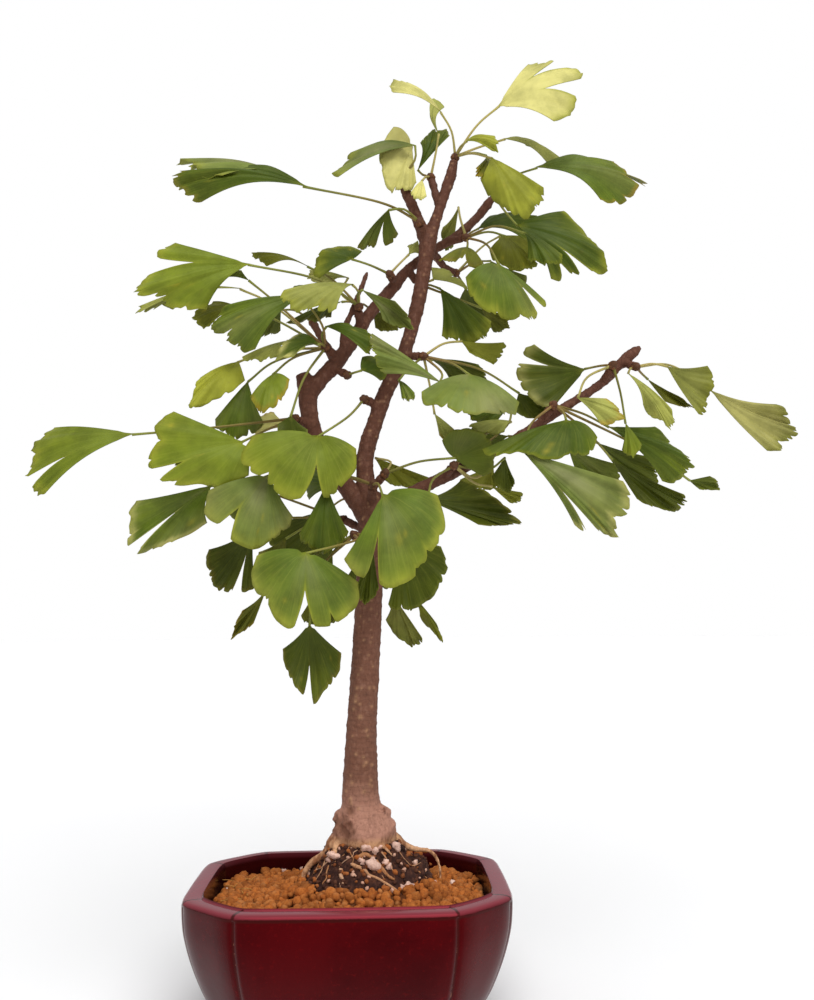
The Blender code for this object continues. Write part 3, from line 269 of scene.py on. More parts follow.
SPRAYS = {
    "top": Spray((64, 499, 0), (66.5, 509, 0), [
        Leaf("yellow/lime", (94, 545), -5, (117, 580), (150, 571), (138, 536), 0, 10,
             [(-.41, .5), (.34, .45)]),
        Leaf("yellow", (59, 541), -12, (26, 557), (28, 562), (37, 562), -5, -14),
        Leaf("lime", (74, 522), -12, (90, 528), (95, 521), (92, 515), -25, 8),
        Leaf("pale", (98, 524), 18, (114, 522), (133, 512), (128, 506), 18, 12, via=(82, 518, 8)),
        Leaf("lime/olive", (90, 512), -22, (83, 493), (110, 468), (126, 491), -8, 3, [(-.05, .12)],
             (78, 514, -10)),
        Leaf("olive/orange", (87, 513), -6, (80, 504), (83, 497), (88, 502), -22, -6),
    ]),
    "crown": Spray((56, 480, 1), (52, 496, 8), [
        Leaf("dark", (43, 502), 8, (45, 522), (54, 530), (67, 529), 12, -8),
        Leaf("yellow", (46, 496), -2, (38, 488), (42, 483), (49, 484), -12),
        Leaf("pale", (57, 526), 8, (52, 545), (54, 551), (59, 547), 22, 8),
    ]),
    "left_tip": Spray((38, 484, 0), (33.5, 494, -2), [
        Leaf("yellow", (40, 519), 5, (21, 524), (26, 489), (43, 493), -12, 4),
        Leaf("blue/lime", (43, 519), -8, (-12, 497), (2, 513), (14, 520), 12, -16),
    ]),
    "leader_side": Spray((48, 458, 0), (45, 466, -7), [
        Leaf("dark/brown", (-25, 491), -25, (-62, 506), (-112, 497), (-98, 484), 6, 6,
             via=(20, 481, -18)),
        Leaf("mid/brown", (25, 477), -18, (3, 451), (12, 451), (30, 457), 10, -6, [(.35, .7)]),
        Leaf("blue/lime", (-27, 491), -14, (-108, 512), (-100, 505), (-82, 500), 2, 22,
             via=(20, 481, -16)),
    ]),
    "right_bud": Spray((82, 474, 21), (90, 484, 20), [
        Leaf("mid/orange", (117, 505), 15, (153, 516), (192, 493), (161, 481), 10, 10,
             [(.1, .25)]),
        Leaf("dark/lime", (104, 467), 5, (141, 475), (163, 438), (128, 430), -5, 6,
             [(.4, .42), (.72, .28)]),
    ]),
    "right_fork": Spray((63, 456, 20), (71, 458, 13), [
        Leaf("dark", (80, 464), 28, (92, 475), (118, 473), (113, 456), 14, 10),
        Leaf("olive/brown", (74, 452), 6, (54, 444), (68, 443), (85, 440), -24, 0, [(.2, .3)]),
        Leaf("dark", (110, 462), -6, (112, 444), (124, 441), (136, 446), -16, 0, via=(92, 466, 2)),
        Leaf("olive", (98, 460), 12, (88, 446), (107, 437), (120, 440), -4),
        Leaf("mid/lime", (93, 442), -14, (74, 421), (112, 403), (125, 417), -8, 0,
             [(.6, .5), (-.1, .12)], (86, 454, -4)),
        Leaf("pale", (69, 479), 30, (58, 464), (58, 451), (65, 450), 4, 0, via=(70, 470, 14)),
    ]),
    "middle": Spray((29, 428, 14), (26, 433, 5), [
        Leaf("dark/lime", (2, 444), -2, (3, 452), (-18, 449), (-22, 431), 2, 2),
        Leaf("pale", (37, 447), 6, (36, 453), (43, 456), (45, 448), 6),
    ]),
    "behind_leader": Spray((36, 437, 17), (42, 430, 20), [
        Leaf("pale", (52, 431), 8, (53, 440), (66, 434), (76, 424), 8, 0, [(.1, .3)]),
        Leaf("dark/lime", (56, 426), 16, (57, 393), (80, 392), (91, 403), -4),
        Leaf("olive", (82, 413), 28, (90, 396), (99, 400), (98, 409), 15),
    ]),
    "left_upper": Spray((6, 400, 9), (6, 411, 0), [
        Leaf("bright/lime", (-61, 441), -12, (-112, 457), (-133, 421), (-90, 410), -6, 0,
             [(-.53, .46), (.3, .15)], (-20, 431, -10)),
        Leaf("pale/lime", (3, 428), -12, (-44, 424), (-36, 412), (-8, 413), -26),
        Leaf("blue", (7, 425), -14, (31, 417), (41, 398), (21, 404), -8, -4),
        Leaf("pale/yellow", (0, 432), 10, (-24, 438), (-27, 431), (-12, 428), 14, 6,
             via=(-5, 422, 4)),
        Leaf("olive", (-25, 439), 14, (-60, 449), (-60, 446), (-50, 442), 8, 10),
        Leaf("dark/brown", (-4, 417), 2, (-42, 403), (-26, 404), (-12, 407), 12, -8),
        Leaf("olive", (13, 412), 20, (16, 399), (27, 398), (38, 403), 14),
    ]),
    "left_spur": Spray((-6, 381, 6), (-13, 386, -2), [
        Leaf("mid/dark", (-28, 421), -16, (-80, 414), (-86, 396), (-60, 385), -8, 4, [(.2, .2)],
             (-17, 402, -14)),
        Leaf("pale", (-66, 425), 14, (-136, 412), (-120, 414), (-104, 417), 6, -8),
        Leaf("mid", (-62, 430), 2, (-77, 433), (-76, 437), (-67, 437), -10),
        Leaf("olive", (-65, 412), 6, (-86, 418), (-98, 406), (-88, 400), 4, 8),
        Leaf("pale", (-38, 392), -2, (-68, 381), (-56, 379), (-44, 383), -10),
        Leaf("dark/yellow", (-19, 390), -14, (-36, 396), (-46, 378), (-28, 387), -6, 6),
        Leaf("dark", (-15, 401), -10, (0, 403), (14, 396), (12, 383), -6, 6),
        Leaf("dark", (-36, 345), -20, (-45, 336), (-34, 322), (-24, 334),
             via=(-28, 368, -15)),
        Leaf("lime", (-68, 379), 6, (-93, 369), (-98, 349), (-66, 364), -16),
        Leaf("bright/orange", (-47, 371), -12, (-62, 357), (-53, 346), (-36, 364), -16),
        Leaf("mid", (-62, 367), 4, (-84, 342), (-71, 330), (-51, 338), -6),
    ]),
    "right_spur": Spray((36, 382, 0), (43.5, 382, -6), [
        Leaf("lime", (69, 392), 2, (74, 384), (89, 377), (98, 391), 4),
        Leaf("dark", (50, 380), 4, (63, 364), (85, 364), (82, 378), 16, 6),
        Leaf("dark", (104, 359), 16, (106, 343), (127, 345), (118, 358), 2, 0, via=(80, 374, 4)),
        Leaf("blue", (57, 365), -19, (19, 371), (15, 385), (11, 400), -6),
        Leaf("blue", (74, 371), -10, (41, 356), (75, 346), (108, 349), -30),
        Leaf("pale/orange", (52, 346), 2, (55, 332), (60, 327), (65, 336), -10),
        Leaf("mid", (30, 367), -10, (32, 356), (37, 354), (41, 358), -20),
    ]),
    "elbow": Spray((-9, 374, 5), (-3, 371, -2), [
        Leaf("dark", (7, 373), -11, (12, 383), (26, 375), (20, 366)),
    ]),
    "low_spur": Spray((17, 351, 0), (11, 354, -6), [
        Leaf("bright/lime", (-19, 333), -26, (-68, 320), (-23, 291), (6, 315), -8, 0,
             [(.05, .52), (-.5, .2)], (-1, 344, -16)),
    ]),
    "fork_right": Spray((13, 299, 0), (20, 307, -7), [
        Leaf("mid", (64, 318), -14, (61, 335), (85, 331), (87, 308), -4, 0, via=(42, 316, -12)),
        Leaf("lime", (15, 319), 10, (21, 304), (36, 299), (51, 306), 10, 0, via=(25, 316, 4)),
    ]),
    "left_branch": Spray((-23, 338, 2), (-31, 342, -5), [
        Leaf("bright/lime", (-130, 334), -18, (-184, 341), (-195, 309), (-187, 294), 0, 12,
             [(.3, .4)], (-88, 337, -14)),
        Leaf("bright/lime", (-64, 329), -16, (-114, 349), (-121, 308), (-71, 301), -6, 0,
             [(.02, .36), (-.5, .12), (.55, .08)]),
        Leaf("yellow/orange", (-36, 338), -4, (-57, 332), (-60, 342), (-47, 348), 10),
    ]),
    "front": Spray((13, 288, -2), (14, 300, -16), [
        Leaf("mid/lime", (20, 297), -40, (-6, 253), (25, 239), (60, 281), -8, 0, [(-.36, .52)]),
        Leaf("dark", (-14, 303), -24, (-32, 271), (-16, 260), (1, 271), -4),
        Leaf("blue/lime", (-49, 309), -18, (-90, 290), (-58, 263), (-33, 280), -6, 0,
             [(-.44, .4)]),
    ]),
    "low_front": Spray((11, 262, -3), (4, 270, -15), [
        Leaf("mid/lime", (-26, 262), -32, (-61, 247), (-30, 213), (8, 233), -6, 0,
             [(.06, .5), (-.5, .14)], (3, 268, -33)),
        Leaf("dark/brown", (-24, 219), -14, (-41, 200), (-23, 169), (-3, 197), 0, 0, [(-.08, .5)],
             (-20, 248, -16)),
        Leaf("olive/orange", (-50, 238), -8, (-65, 226), (-71, 209), (-57, 218), 4),
        Leaf("olive", (-18, 246), -6, (-30, 222), (-16, 217), (-2, 222), 4),
        Leaf("dark", (14, 268), -20, (3, 238), (9, 230), (18, 237)),
    ]),
    "low_left": Spray((9, 274, 3), (-2, 280, 12), [
        Leaf("mid/yellow", (-82, 303), 8, (-132, 293), (-132, 259), (-87, 277), -2, 0,
             [(-.06, .6)]),
        Leaf("deep/brown", (-58, 276), 14, (-87, 262), (-79, 238), (-56, 237), 2, 0, [(.5, .6)]),
        Leaf("olive/yellow", (-38, 270), 10, (-56, 261), (-53, 249), (-38, 248), 4),
    ]),
    "low_right": Spray((17, 266, 0), (26, 272, 5), [
        Leaf("dark", (31, 266), -8, (22, 227), (38, 226), (60, 255), 4),
        Leaf("pale/olive", (26, 235), 10, (21, 219), (37, 204), (45, 208), 6),
        Leaf("olive", (38, 235), 2, (42, 222), (56, 206), (53, 217), -4),
    ]),
    "branch_near": Spray((56, 306, -3), (62, 312, -11), [
        Leaf("deep/brown", (46, 293), -14, (72, 306), (104, 278), (80, 276), -8),
        Leaf("dark", (95, 319), 4, (86, 305), (98, 296), (101, 304), 8, 0, via=(84, 311, -4)),
        Leaf("lime", (88, 313), 14, (65, 304), (80, 299), (90, 300), 10, 0, via=(76, 306, -2)),
        Leaf("lime", (86, 301), 18, (98, 290), (104, 291), (106, 297), 6, 0, via=(76, 303, 2)),
        Leaf("pale", (100, 341), 10, (73, 341), (79, 333), (95, 334), -16, 0, via=(80, 331, -2)),
        Leaf("dark", (101, 350), 16, (72, 348), (74, 341), (90, 340), -10),
    ]),
    "branch_middle": Spray((118, 341, -3), (124, 349, -9), [
        Leaf("dark", (134, 342), -12, (76, 322), (112, 321), (150, 323), -22),
        Leaf("blue/yellow", (105, 323), -26, (139, 274), (165, 269), (173, 303), -10, 0,
             [(-.62, .5), (.2, .12)]),
        Leaf("dark", (158, 338), 8, (190, 338), (213, 312), (195, 301), 6),
        Leaf("deep", (160, 318), 14, (176, 291), (200, 284), (207, 294), 6),
        Leaf("dark", (208, 304), 22, (222, 307), (228, 298), (214, 298), 10),
    ]),
    "branch_outer": Spray((157, 366, -2), (162, 374, -9), [
        Leaf("dark/yellow", (147, 374), 2, (112, 391), (103, 371), (121, 347), 8, 0, [(-.45, .45)],
             (156, 376, -6)),
        Leaf("pale/orange", (140, 356), -12, (160, 356), (170, 343), (156, 337), -10),
        Leaf("bright", (170, 340), -6, (167, 322), (174, 318), (181, 326), -6),
    ]),
    "branch_tip": Spray((170, 378, -1), (176, 376, -8), [
        Leaf("olive/brown", (184, 368), 6, (196, 352), (213, 349), (205, 356), 12),
        Leaf("pale", (172, 372), -10, (182, 350), (199, 335), (202, 347), -8),
        Leaf("pale/lime", (197, 376), 4, (225, 376), (223, 356), (217, 342), 6),
        Leaf("yellow/lime", (223, 361), 20, (268, 351), (278, 333), (259, 319), 4, 0, [(.5, .12)],
             (200, 376, 18)),
    ]),
    "back_low": Spray((10, 284, 22), (4, 294, 38), [
        Leaf("dark", (-12, 288), 52, (-50, 278), (-38, 256), (-10, 250), 24),
        Leaf("mid", (28, 288), 50, (20, 252), (40, 248), (54, 268), 26),
        Leaf("dark", (-4, 300), 62, (-26, 292), (-28, 310), (-8, 318), 26),
        Leaf("mid", (10, 264), 44, (-6, 240), (12, 235), (30, 244), 22),
    ]),
    "back_left": Spray((-34, 330, 22), (-42, 326, 30), [
        Leaf("mid", (-58, 302), 42, (-84, 296), (-72, 282), (-50, 276), 24),
        Leaf("dark", (-78, 322), 38, (-104, 330), (-108, 316), (-92, 306), 20),
    ]),
    "back_upper": Spray((-17, 393, 28), (-22, 402, 38), [
        Leaf("mid", (-42, 412), 52, (-66, 404), (-58, 394), (-42, 398), 22),
        Leaf("dark", (-14, 420), 50, (-38, 414), (-34, 426), (-14, 430), 24),
    ]),
    "back_right": Spray((59, 439, 37), (65, 436, 44), [
        Leaf("dark", (72, 426), 54, (64, 404), (84, 398), (92, 412), 26),
        Leaf("mid", (88, 444), 52, (86, 422), (104, 418), (112, 434), 22),
        Leaf("lime", (94, 460), 58, (94, 446), (114, 444), (122, 460), 24),
    ]),
    "back_branch": Spray((114, 333, 20), (122, 330, 30), [
        Leaf("mid", (134, 324), 44, (142, 298), (160, 298), (166, 314), 24),
        Leaf("dark", (152, 328), 62, (172, 302), (188, 300), (190, 318), 20),
        Leaf("mid", (98, 332), 46, (74, 338), (68, 326), (78, 318), 22),
    ]),
}


def smooth_step(low, high, value):
    """0 below low, 1 above high, with a smooth rise between."""
    share = np.clip((value - low) / (high - low), 0, 1)
    return share * share * (3 - 2 * share)


def sight(x, z, y):
    """The elevation point (x, z), carried to depth y along its line of sight."""
    reach = (y - EYE[1]) / -EYE[1]
    return np.array([EYE[0] + (x - EYE[0]) * reach, y, EYE[2] + (z - EYE[2]) * reach])


def unit(vector):
    """The vector's direction, one unit long."""
    return vector / np.linalg.norm(vector)


def between(first, second):
    """The angle between two directions, within what a blade's half may span."""
    angle = math.acos(float(np.clip(unit(first).dot(unit(second)), -1, 1)))
    return min(WIDEST, max(NARROWEST, angle))


def fullness(span):
    """0 for a half blade folded narrow, 1 for one spread wide, whose shoulder is round."""
    return float(smooth_step(FOLDED_SPAN, ROUND_SPAN, span))


def fan_directions(one):
    """A blade's base, its midline, its two side vectors with their spans and its upward normal."""
    base = sight(*one.base, one.depth)
    middle = sight(*one.middle, one.depth + one.lean) - base
    left = sight(*one.left, one.depth + 0.7 * one.lean + one.turn) - base
    right = sight(*one.right, one.depth + 0.7 * one.lean - one.turn) - base
    normal = unit(np.cross(right - left, middle))
    if normal[2] < 0:
        normal = -normal
    sides = [(side, between(side, middle)) for side in (left, right)]
    return base, middle, sides, normal


def blade_points(frame, across, out, phase, size):
    """Points of the blade: across runs from -1 to 1 and out from 0 at the base to 1."""
    base, middle, sides, normal = frame
    flat = np.zeros(np.shape(across) + (3,))
    for sign, (side, span) in zip((-1, 1), sides):
        full = fullness(span)
        neck = (0.72 + 0.5 * full) * (0.3 + 0.7 * smooth_step(0.0, 0.15, out))
        angle = np.abs(across) * (1 + 0.18 * full) * span * (neck + (1 - neck) * out)
        place = middle * np.sin(span - angle)[..., None] + side * np.sin(angle)[..., None]
        flat += np.where((across * sign >= 0)[..., None], place / math.sin(span), 0)
    flat -= np.where((across == 0)[..., None], middle, 0)
    arch = ARCH * np.sin(math.pi * out) - DROOP * np.abs(across) * out
    wave = WAVE * out ** 2 * np.sin(2.6 * math.pi * across + phase)
    ruffle = RUFFLE * out ** 4 * np.sin(8.3 * math.pi * across + 2 * phase)
    crease = CREASING * out * np.sin(19 * across + 3 * phase)
    lift = size * (arch + wave + ruffle + crease)
    return base + flat * out[..., None] + normal * lift[..., None]


def margin(across, frame, cuts, size, draw):
    """How far out the blade's edge is at each place across: round shoulders, teeth and clefts."""
    place = np.abs(across)
    left, right = (fullness(span) for _, span in frame[2])
    edge = 1.03 - (0.1 + 0.15 * np.where(across < 0, left, right)) * smooth_step(0.76, 1.04, place)
    calm = 1 - 0.7 * smooth_step(0.8, 1.0, place)
    lobes = (7, 0.055)
    teeth = (int(14 + size / 3), 0.015 + 0.8 / size)
    for count, depth in (lobes, teeth):
        knots = np.linspace(-1.02, 1.02, count)
        knots[1:-1] += np.array([draw.uniform(-0.3, 0.3) for _ in knots[1:-1]]) * 2 / count
        deep = np.array([draw.random() for _ in knots])
        edge -= calm * depth * np.interp(across, knots, deep ** 1.5)
    for _ in range(int(2 + size / 12)):
        nick = draw.uniform(-0.85, 0.85)
        deep = draw.uniform(0.03, 0.08)
        edge -= deep * np.clip(1 - np.abs(across - nick) / NICK_WIDTH, 0, 1)
    for cut, depth in cuts:
        away = np.abs(across - cut)
        width = 0.04 + 0.10 * min(1, depth / 0.45)
        edge -= 0.09 * np.exp(-(away / 0.13) ** 2)
        edge = np.minimum(edge, 1 - depth * np.clip(1 - away / width, 0, 1) ** 0.85)
    return edge


def linear(colour):
    """A screen colour, by its name or as 0 to 255, as the linear light that shaders use."""
    share = np.asarray(COLOURS.get(colour, colour), float) / 255
    return np.where(share <= 0.04045, share / 12.92, ((share + 0.055) / 1.055) ** 2.4)


def mixed(first, second, share):
    """The first colour with a share of the second in it."""
    share = np.asarray(share, float)[..., None]
    return first * (1 - share) + second * share


def toned(tint, colour, share):
    """The tint with a share of the named colour in it."""
    return mixed(tint, linear(colour), share)


def added(name, data):
    """A new object in the scene that shows the data."""
    obj = bpy.data.objects.new(name, data)
    bpy.context.scene.collection.objects.link(obj)
    return obj


def evaluated_mesh(obj):
    """The object's mesh with its modifiers applied."""
    bpy.context.view_layer.update()
    graph = bpy.context.evaluated_depsgraph_get()
    return bpy.data.meshes.new_from_object(obj.evaluated_get(graph))


class Skin:
    """Collects points, faces and point attributes, and makes one mesh object of them."""

    def __init__(self):
        self.points = []
        self.faces = []
        self.tints = []
        self.fans = []
        self.count = 0

    def add(self, points, faces, tint, fan=(0, 0, 0)):
        """points in millimetres; faces as index rows; tint and fan for all points or for each."""
        points = np.asarray(points, float).reshape(-1, 3)
        self.points.append(points)
        self.faces += [np.asarray(rows) + self.count for rows in faces if len(rows)]
        self.tints.append(np.broadcast_to(tint, points.shape))
        self.fans.append(np.broadcast_to(fan, points.shape))
        self.count += len(points)

    def build(self, name, finish):
        """The object made of all that was added, in metres."""
        mesh = bpy.data.meshes.new(name)
        faces = [face for rows in self.faces for face in rows.tolist()]
        mesh.from_pydata(np.concatenate(self.points) * MM + PLANT, [], faces)
        mesh.validate()
        paint(mesh, np.concatenate(self.tints), np.concatenate(self.fans))
        mesh.shade_smooth()
        mesh.materials.append(finish)
        return added(name, mesh)


def paint(mesh, tint, fan):
    """Writes the colour and the pattern coordinates of each point."""
    colour = np.column_stack([tint, np.ones(len(tint))])
    made = mesh.color_attributes.new("tint", "FLOAT_COLOR", "POINT")
    made.data.foreach_set("color", colour.ravel().astype(np.float32))
    made = mesh.attributes.new("fan", "FLOAT_VECTOR", "POINT")
    made.data.foreach_set("vector", np.ascontiguousarray(fan).ravel().astype(np.float32))


def grid_faces(rows, columns, around=False, flip=False):
    """Quads between neighbouring rows of a grid of points."""
    index = np.arange(rows * columns).reshape(rows, columns)
    if around:
        index = np.column_stack([index, index[:, 0]])
    quads = np.stack([index[:-1, :-1], index[:-1, 1:], index[1:, 1:], index[1:, :-1]], -1)
    quads = quads.reshape(-1, 4)
    return quads[:, ::-1] if flip else quads


def capped_faces(rows, columns, flip=False):
    """Faces of a stack of rings, closed by fans to the two end points that follow the rings."""
    count = rows * columns
    ring = np.arange(columns)
    after = (ring + 1) % columns
    if flip:
        ring, after = after, ring
    start = np.column_stack([after, ring, np.full(columns, count)])
    end = np.column_stack([ring, after, np.full(columns, count + 1)])
    end[:, :2] += count - columns
    return [grid_faces(rows, columns, around=True, flip=flip), start, end]


def smooth_path(points, step):
    """Points on a smooth curve through the given ones, about step apart, in any dimension."""
    points = np.asarray(points, float)
    padded = np.vstack([2 * points[0] - points[1], points, 2 * points[-1] - points[-2]])
    found = []
    for index in range(len(points) - 1):
        before, start, end, after = padded[index:index + 4]
        count = max(2, int(np.linalg.norm((end - start)[:3]) / step))
        for share in np.arange(count) / count:
            found.append(0.5 * (2 * start + (end - before) * share
                                + (2 * before - 5 * start + 4 * end - after) * share ** 2
                                + (3 * start - before - 3 * end + after) * share ** 3))
    return np.array(found + [points[-1]])


def tube(path, radii, sides):
    """Points and faces of a round tube, capped at both ends."""
    path = np.asarray(path, float)
    along = np.gradient(path, axis=0)
    along /= np.linalg.norm(along, axis=1)[:, None]
    across = np.cross(along[0], [0.3, 0.5, 0.8])
    turn = TAU * np.arange(sides) / sides
    rings = []
    for centre, heading, radius in zip(path, along, radii):
        across = unit(across - heading * across.dot(heading))
        over = np.cross(heading, across)
        circle = np.outer(np.cos(turn), across) + np.outer(np.sin(turn), over)
        rings.append(centre + radius * circle)
    return np.concatenate(rings + [path[:1], path[-1:]]), capped_faces(len(path), sides)


def ball(radius, rows=6, columns=9):
    """Points and faces of a ball made of rings, for lumps and grains."""
    polar = np.pi * (np.arange(rows) + 0.5) / rows
    turn = TAU * np.arange(columns) / columns
    ring = np.stack([np.outer(np.sin(polar), np.cos(turn)), np.outer(np.sin(polar), np.sin(turn)),
                     np.outer(np.cos(polar), np.ones(columns))], -1).reshape(-1, 3)
    points = np.vstack([ring, [[0, 0, 1], [0, 0, -1]]]) * radius
    return points, capped_faces(rows, columns, flip=True)


def rough(points, amount, scale, seed):
    """Moves points out or in from their middle by noise of the given feature size."""
    middle = points.mean(0)
    moved = []
    for point in points:
        place = Vector((point - middle) / scale) + Vector((seed * 7.1, seed * 3.3, seed))
        moved.append(middle + (point - middle) * (1 + amount * noise.noise(place)))
    return np.array(moved)


# Leaves.


def blade_tint(one, across, out, edge, size, draw):
    """The colour of each point of the blade, from its tone and the tone of its rim."""
    tone, _, rim = one.tone.partition("/")
    tint = np.broadcast_to(linear(tone), across.shape + (3,))
    lime = linear("lime")
    phase = draw.uniform(0, TAU)
    streak = 0.5 + 0.5 * np.sin(5.0 * across + phase) * np.cos(2.3 * across - phase)
    tint = mixed(tint, lime, 0.20 * streak * smooth_step(0.3, 1.0, out))
    tint = mixed(tint, lime, 0.45 * (1 - smooth_step(0.02, 0.16, out)))
    inward = (1 - out) * edge * size
    if rim:
        ragged = 0.6 + 0.4 * np.sin(11 * across + phase) * np.sin(4.1 * across)
        reached = 1 - smooth_step(0.3, RIM_REACH.get(rim, 4.5), inward)
        tint = toned(tint, rim, 0.85 * ragged * reached)
    tint = mixed(tint, lime, 0.4 * (1 - smooth_step(0.1, 1.3, inward)))
    if tone in ("blue", "mid"):
        patch = 0.5 + 0.5 * np.sin(3.1 * across + phase) * np.sin(3.3 * out + 0.5 * phase)
        tint = toned(tint, "bloom", (0.36 if tone == "blue" else 0.18) * patch ** 2)
    for _ in range(draw.choice([0, 0, 1, 2])):
        place = draw.uniform(-0.8, 0.8)
        far = draw.uniform(0.5, 0.95)
        wide = draw.uniform(0.02, 0.05)
        near = np.exp(-(((across - place) * out) ** 2 + (out - far) ** 2) / wide ** 2)
        tint = toned(tint, "spot", 0.45 * near)
    return tint * draw.uniform(0.88, 1.08)


def stacked(upper, lower):
    """The rows of both faces of a blade, one face after the other."""
    return np.concatenate([upper.reshape(-1, 3), lower.reshape(-1, 3)])


def add_blade(skin, one, draw):
    """One leaf blade with two faces and a rim. Returns its frame."""
    frame = fan_directions(one)
    phase = draw.uniform(0, TAU)
    size = np.linalg.norm(frame[1])
    columns = int(min(76, max(26, size * 1.9)))
    rows = int(min(17, max(7, size / 2.6)))
    places = np.linspace(-1, 1, columns)
    for cut, _ in one.cuts:
        places[np.abs(places - cut).argmin()] = cut
    edge = margin(places, frame, one.cuts, size, draw)
    shares = 0.02 + 0.98 * (np.arange(rows) / (rows - 1)) ** 0.9
    across = np.broadcast_to(places, (rows, columns))
    out = shares[:, None] * edge[None, :]
    points = blade_points(frame, across, out, phase, size)
    slope_out = np.gradient(points, axis=0)
    slope_across = np.gradient(points, axis=1)
    normals = np.cross(slope_across, slope_out)
    normals /= np.linalg.norm(normals, axis=-1)[..., None] + 1e-9
    if (normals.reshape(-1, 3) @ frame[3]).mean() < 0:
        normals = -normals
    thick = BLADE_THICKNESS / 2 * (1 - 0.4 * out)[..., None]
    tint = blade_tint(one, across, np.broadcast_to(shares[:, None], out.shape), edge, size, draw)
    fan = np.stack([across * VEIN_SPREAD, out * size, np.full(out.shape, draw.uniform(0, 50))], -1)
    # The underside: the tint with olive in it, made darker by 0.78 as painted shade.
    under = toned(tint, "olive", 0.3) * 0.78
    count = rows * columns
    border = np.concatenate([np.arange(columns), np.arange(1, rows) * columns + columns - 1,
                             np.arange(columns - 2, -1, -1) + (rows - 1) * columns,
                             np.arange(rows - 2, 0, -1) * columns])
    after = np.roll(border, -1)
    rim = np.column_stack([border, after, after + count, border + count])
    flip = np.dot(np.cross(slope_across[0, 0], slope_out[0, 0]), normals[0, 0]) < 0
    faces = grid_faces(rows, columns, flip=flip)
    both = [faces, faces[:, ::-1] + count, rim if flip else rim[:, ::-1]]
    skin.add(stacked(points + normals * thick, points - normals * thick), both,
             stacked(tint, under), stacked(fan, fan))
    return frame


def collar_centre(spray):
    """The middle of the cluster of scales, just past the spur's tip."""
    root, tip = sight(*spray.root), sight(*spray.tip)
    return tip + unit(tip - root) * (COLLAR_RADIUS + 0.3)


def add_petiole(skin, spray, one, frame, draw):
    """The leaf's stalk, from the collar on the spur into the blade's base."""
    root, tip = sight(*spray.root), sight(*spray.tip)
    start = collar_centre(spray)
    base, middle = frame[0], frame[1]
    finish = base + middle * 0.03
    if one.via:
        path = [start, sight(*one.via), finish]
    else:
        reach = base - start
        length = np.linalg.norm(reach)
        arrival = unit(1.2 * unit(reach) + unit(middle))
        bend = base - arrival * min(12, length * 0.35)
        sprung = start + reach * 0.3 + unit(tip - root) * length * 0.1
        path = [start, bend * 0.6 + sprung * 0.4, finish]
    path = smooth_path(path, 2.5)
    share = np.linspace(0, 1, len(path))
    radii = PETIOLE_RADIUS * (1.0 + 0.35 * (1 - share) ** 6 - 0.12 * share + 0.25 * share ** 12)
    points, faces = tube(path, radii, PETIOLE_SIDES)
    colour = mixed(linear(draw.choice(STALKS)), linear("stalk"), share ** 2)
    if one.tone.startswith(("yellow", "pale", "lime")):
        colour = toned(colour, "pale stalk", 0.7)
    tint = np.vstack([np.repeat(colour, PETIOLE_SIDES, axis=0), colour[:1], colour[-1:]])
    skin.add(points, faces, tint)


def add_collar(skin, spray, draw):
    """The cluster of bud scales that the petioles spring from."""
    centre = collar_centre(spray)
    heading = unit(centre - sight(*spray.root))
    points, faces = ball(COLLAR_RADIUS, 9, 14)
    points = rough(points * (1, 1, 1.15), 0.25, 1.6, draw.uniform(0, 9))
    skin.add(points @ turned_to(heading).T + centre, faces, linear("bud"))
    for step in range(SCALES):
        angle = TAU * step / SCALES + draw.uniform(-0.3, 0.3)
        side = turned_to(heading) @ np.array([math.cos(angle), math.sin(angle), 0])
        points, faces = ball(SCALE_RADIUS, 6, 8)
        place = centre - heading * draw.uniform(0.2, 1.4) + side * 1.7
        skin.add(points * (1, 1, 1.3) @ turned_to(heading + side * 0.5).T + place, faces,
                 linear("bud scale") * draw.uniform(0.8, 1.25))


def turned_to(heading):
    """A rotation matrix whose third axis is the heading."""
    third = unit(np.asarray(heading, float))
    first = unit(np.cross(third, [0.31, 0.62, 0.7]))
    return np.column_stack([first, np.cross(third, first), third])


def make_sprays(finish):
    """One piece for each spray: its blades, their stalks and the spur's scales."""
    for order, (name, spray) in enumerate(SPRAYS.items()):
        skin = Skin()
        for index, one in enumerate(spray.leaves):
            draw = random.Random(SEED + 100 * order + index)
            frame = add_blade(skin, one, draw)
            add_petiole(skin, spray, one, frame, draw)
        add_collar(skin, spray, random.Random(SEED + order))
        obj = skin.build("leaves_" + name, finish)
        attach(obj, "root")
        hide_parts("spray_" + name)


# Wood.


def mound_distance(x, y):
    """1 at the edge of the mound's oval, less inside it."""
    return math.hypot((x - MOUND_CENTRE[0]) / MOUND_HALF[0], (y - MOUND_CENTRE[1]) / MOUND_HALF[1])


def mound_height(x, y):
    """The peat's surface: a low dome, heaped up against the trunk and on its right shoulder."""
    distance = mound_distance(x, y)
    if distance > MOUND_RINGS[0][0]:
        return 0.0
    shares, heights = zip(*MOUND_RINGS[::-1])
    rise, middle, reach = COLLAR_HEAP
    collar = rise * math.exp(-(max(0, distance - middle) / reach) ** 2)
    rise, centre, reach = SHOULDER_HEAP
    away = math.hypot((x - centre[0]) / reach[0], (y - centre[1]) / reach[1])
    return float(np.interp(distance, shares, heights)) + collar + rise * math.exp(-away ** 2)


def ground_height(x, y):
    """The soil's surface, which rises towards the mound and is heaped against its foot."""
    away = max(0.0, mound_distance(x, y) - 1) * MOUND_HALF[1]
    return (SOIL_LEVEL + SOIL_RISE * math.exp(-away / SOIL_RISE_REACH)
            + HEAP_RISE * math.exp(-(away / HEAP_REACH) ** 2))


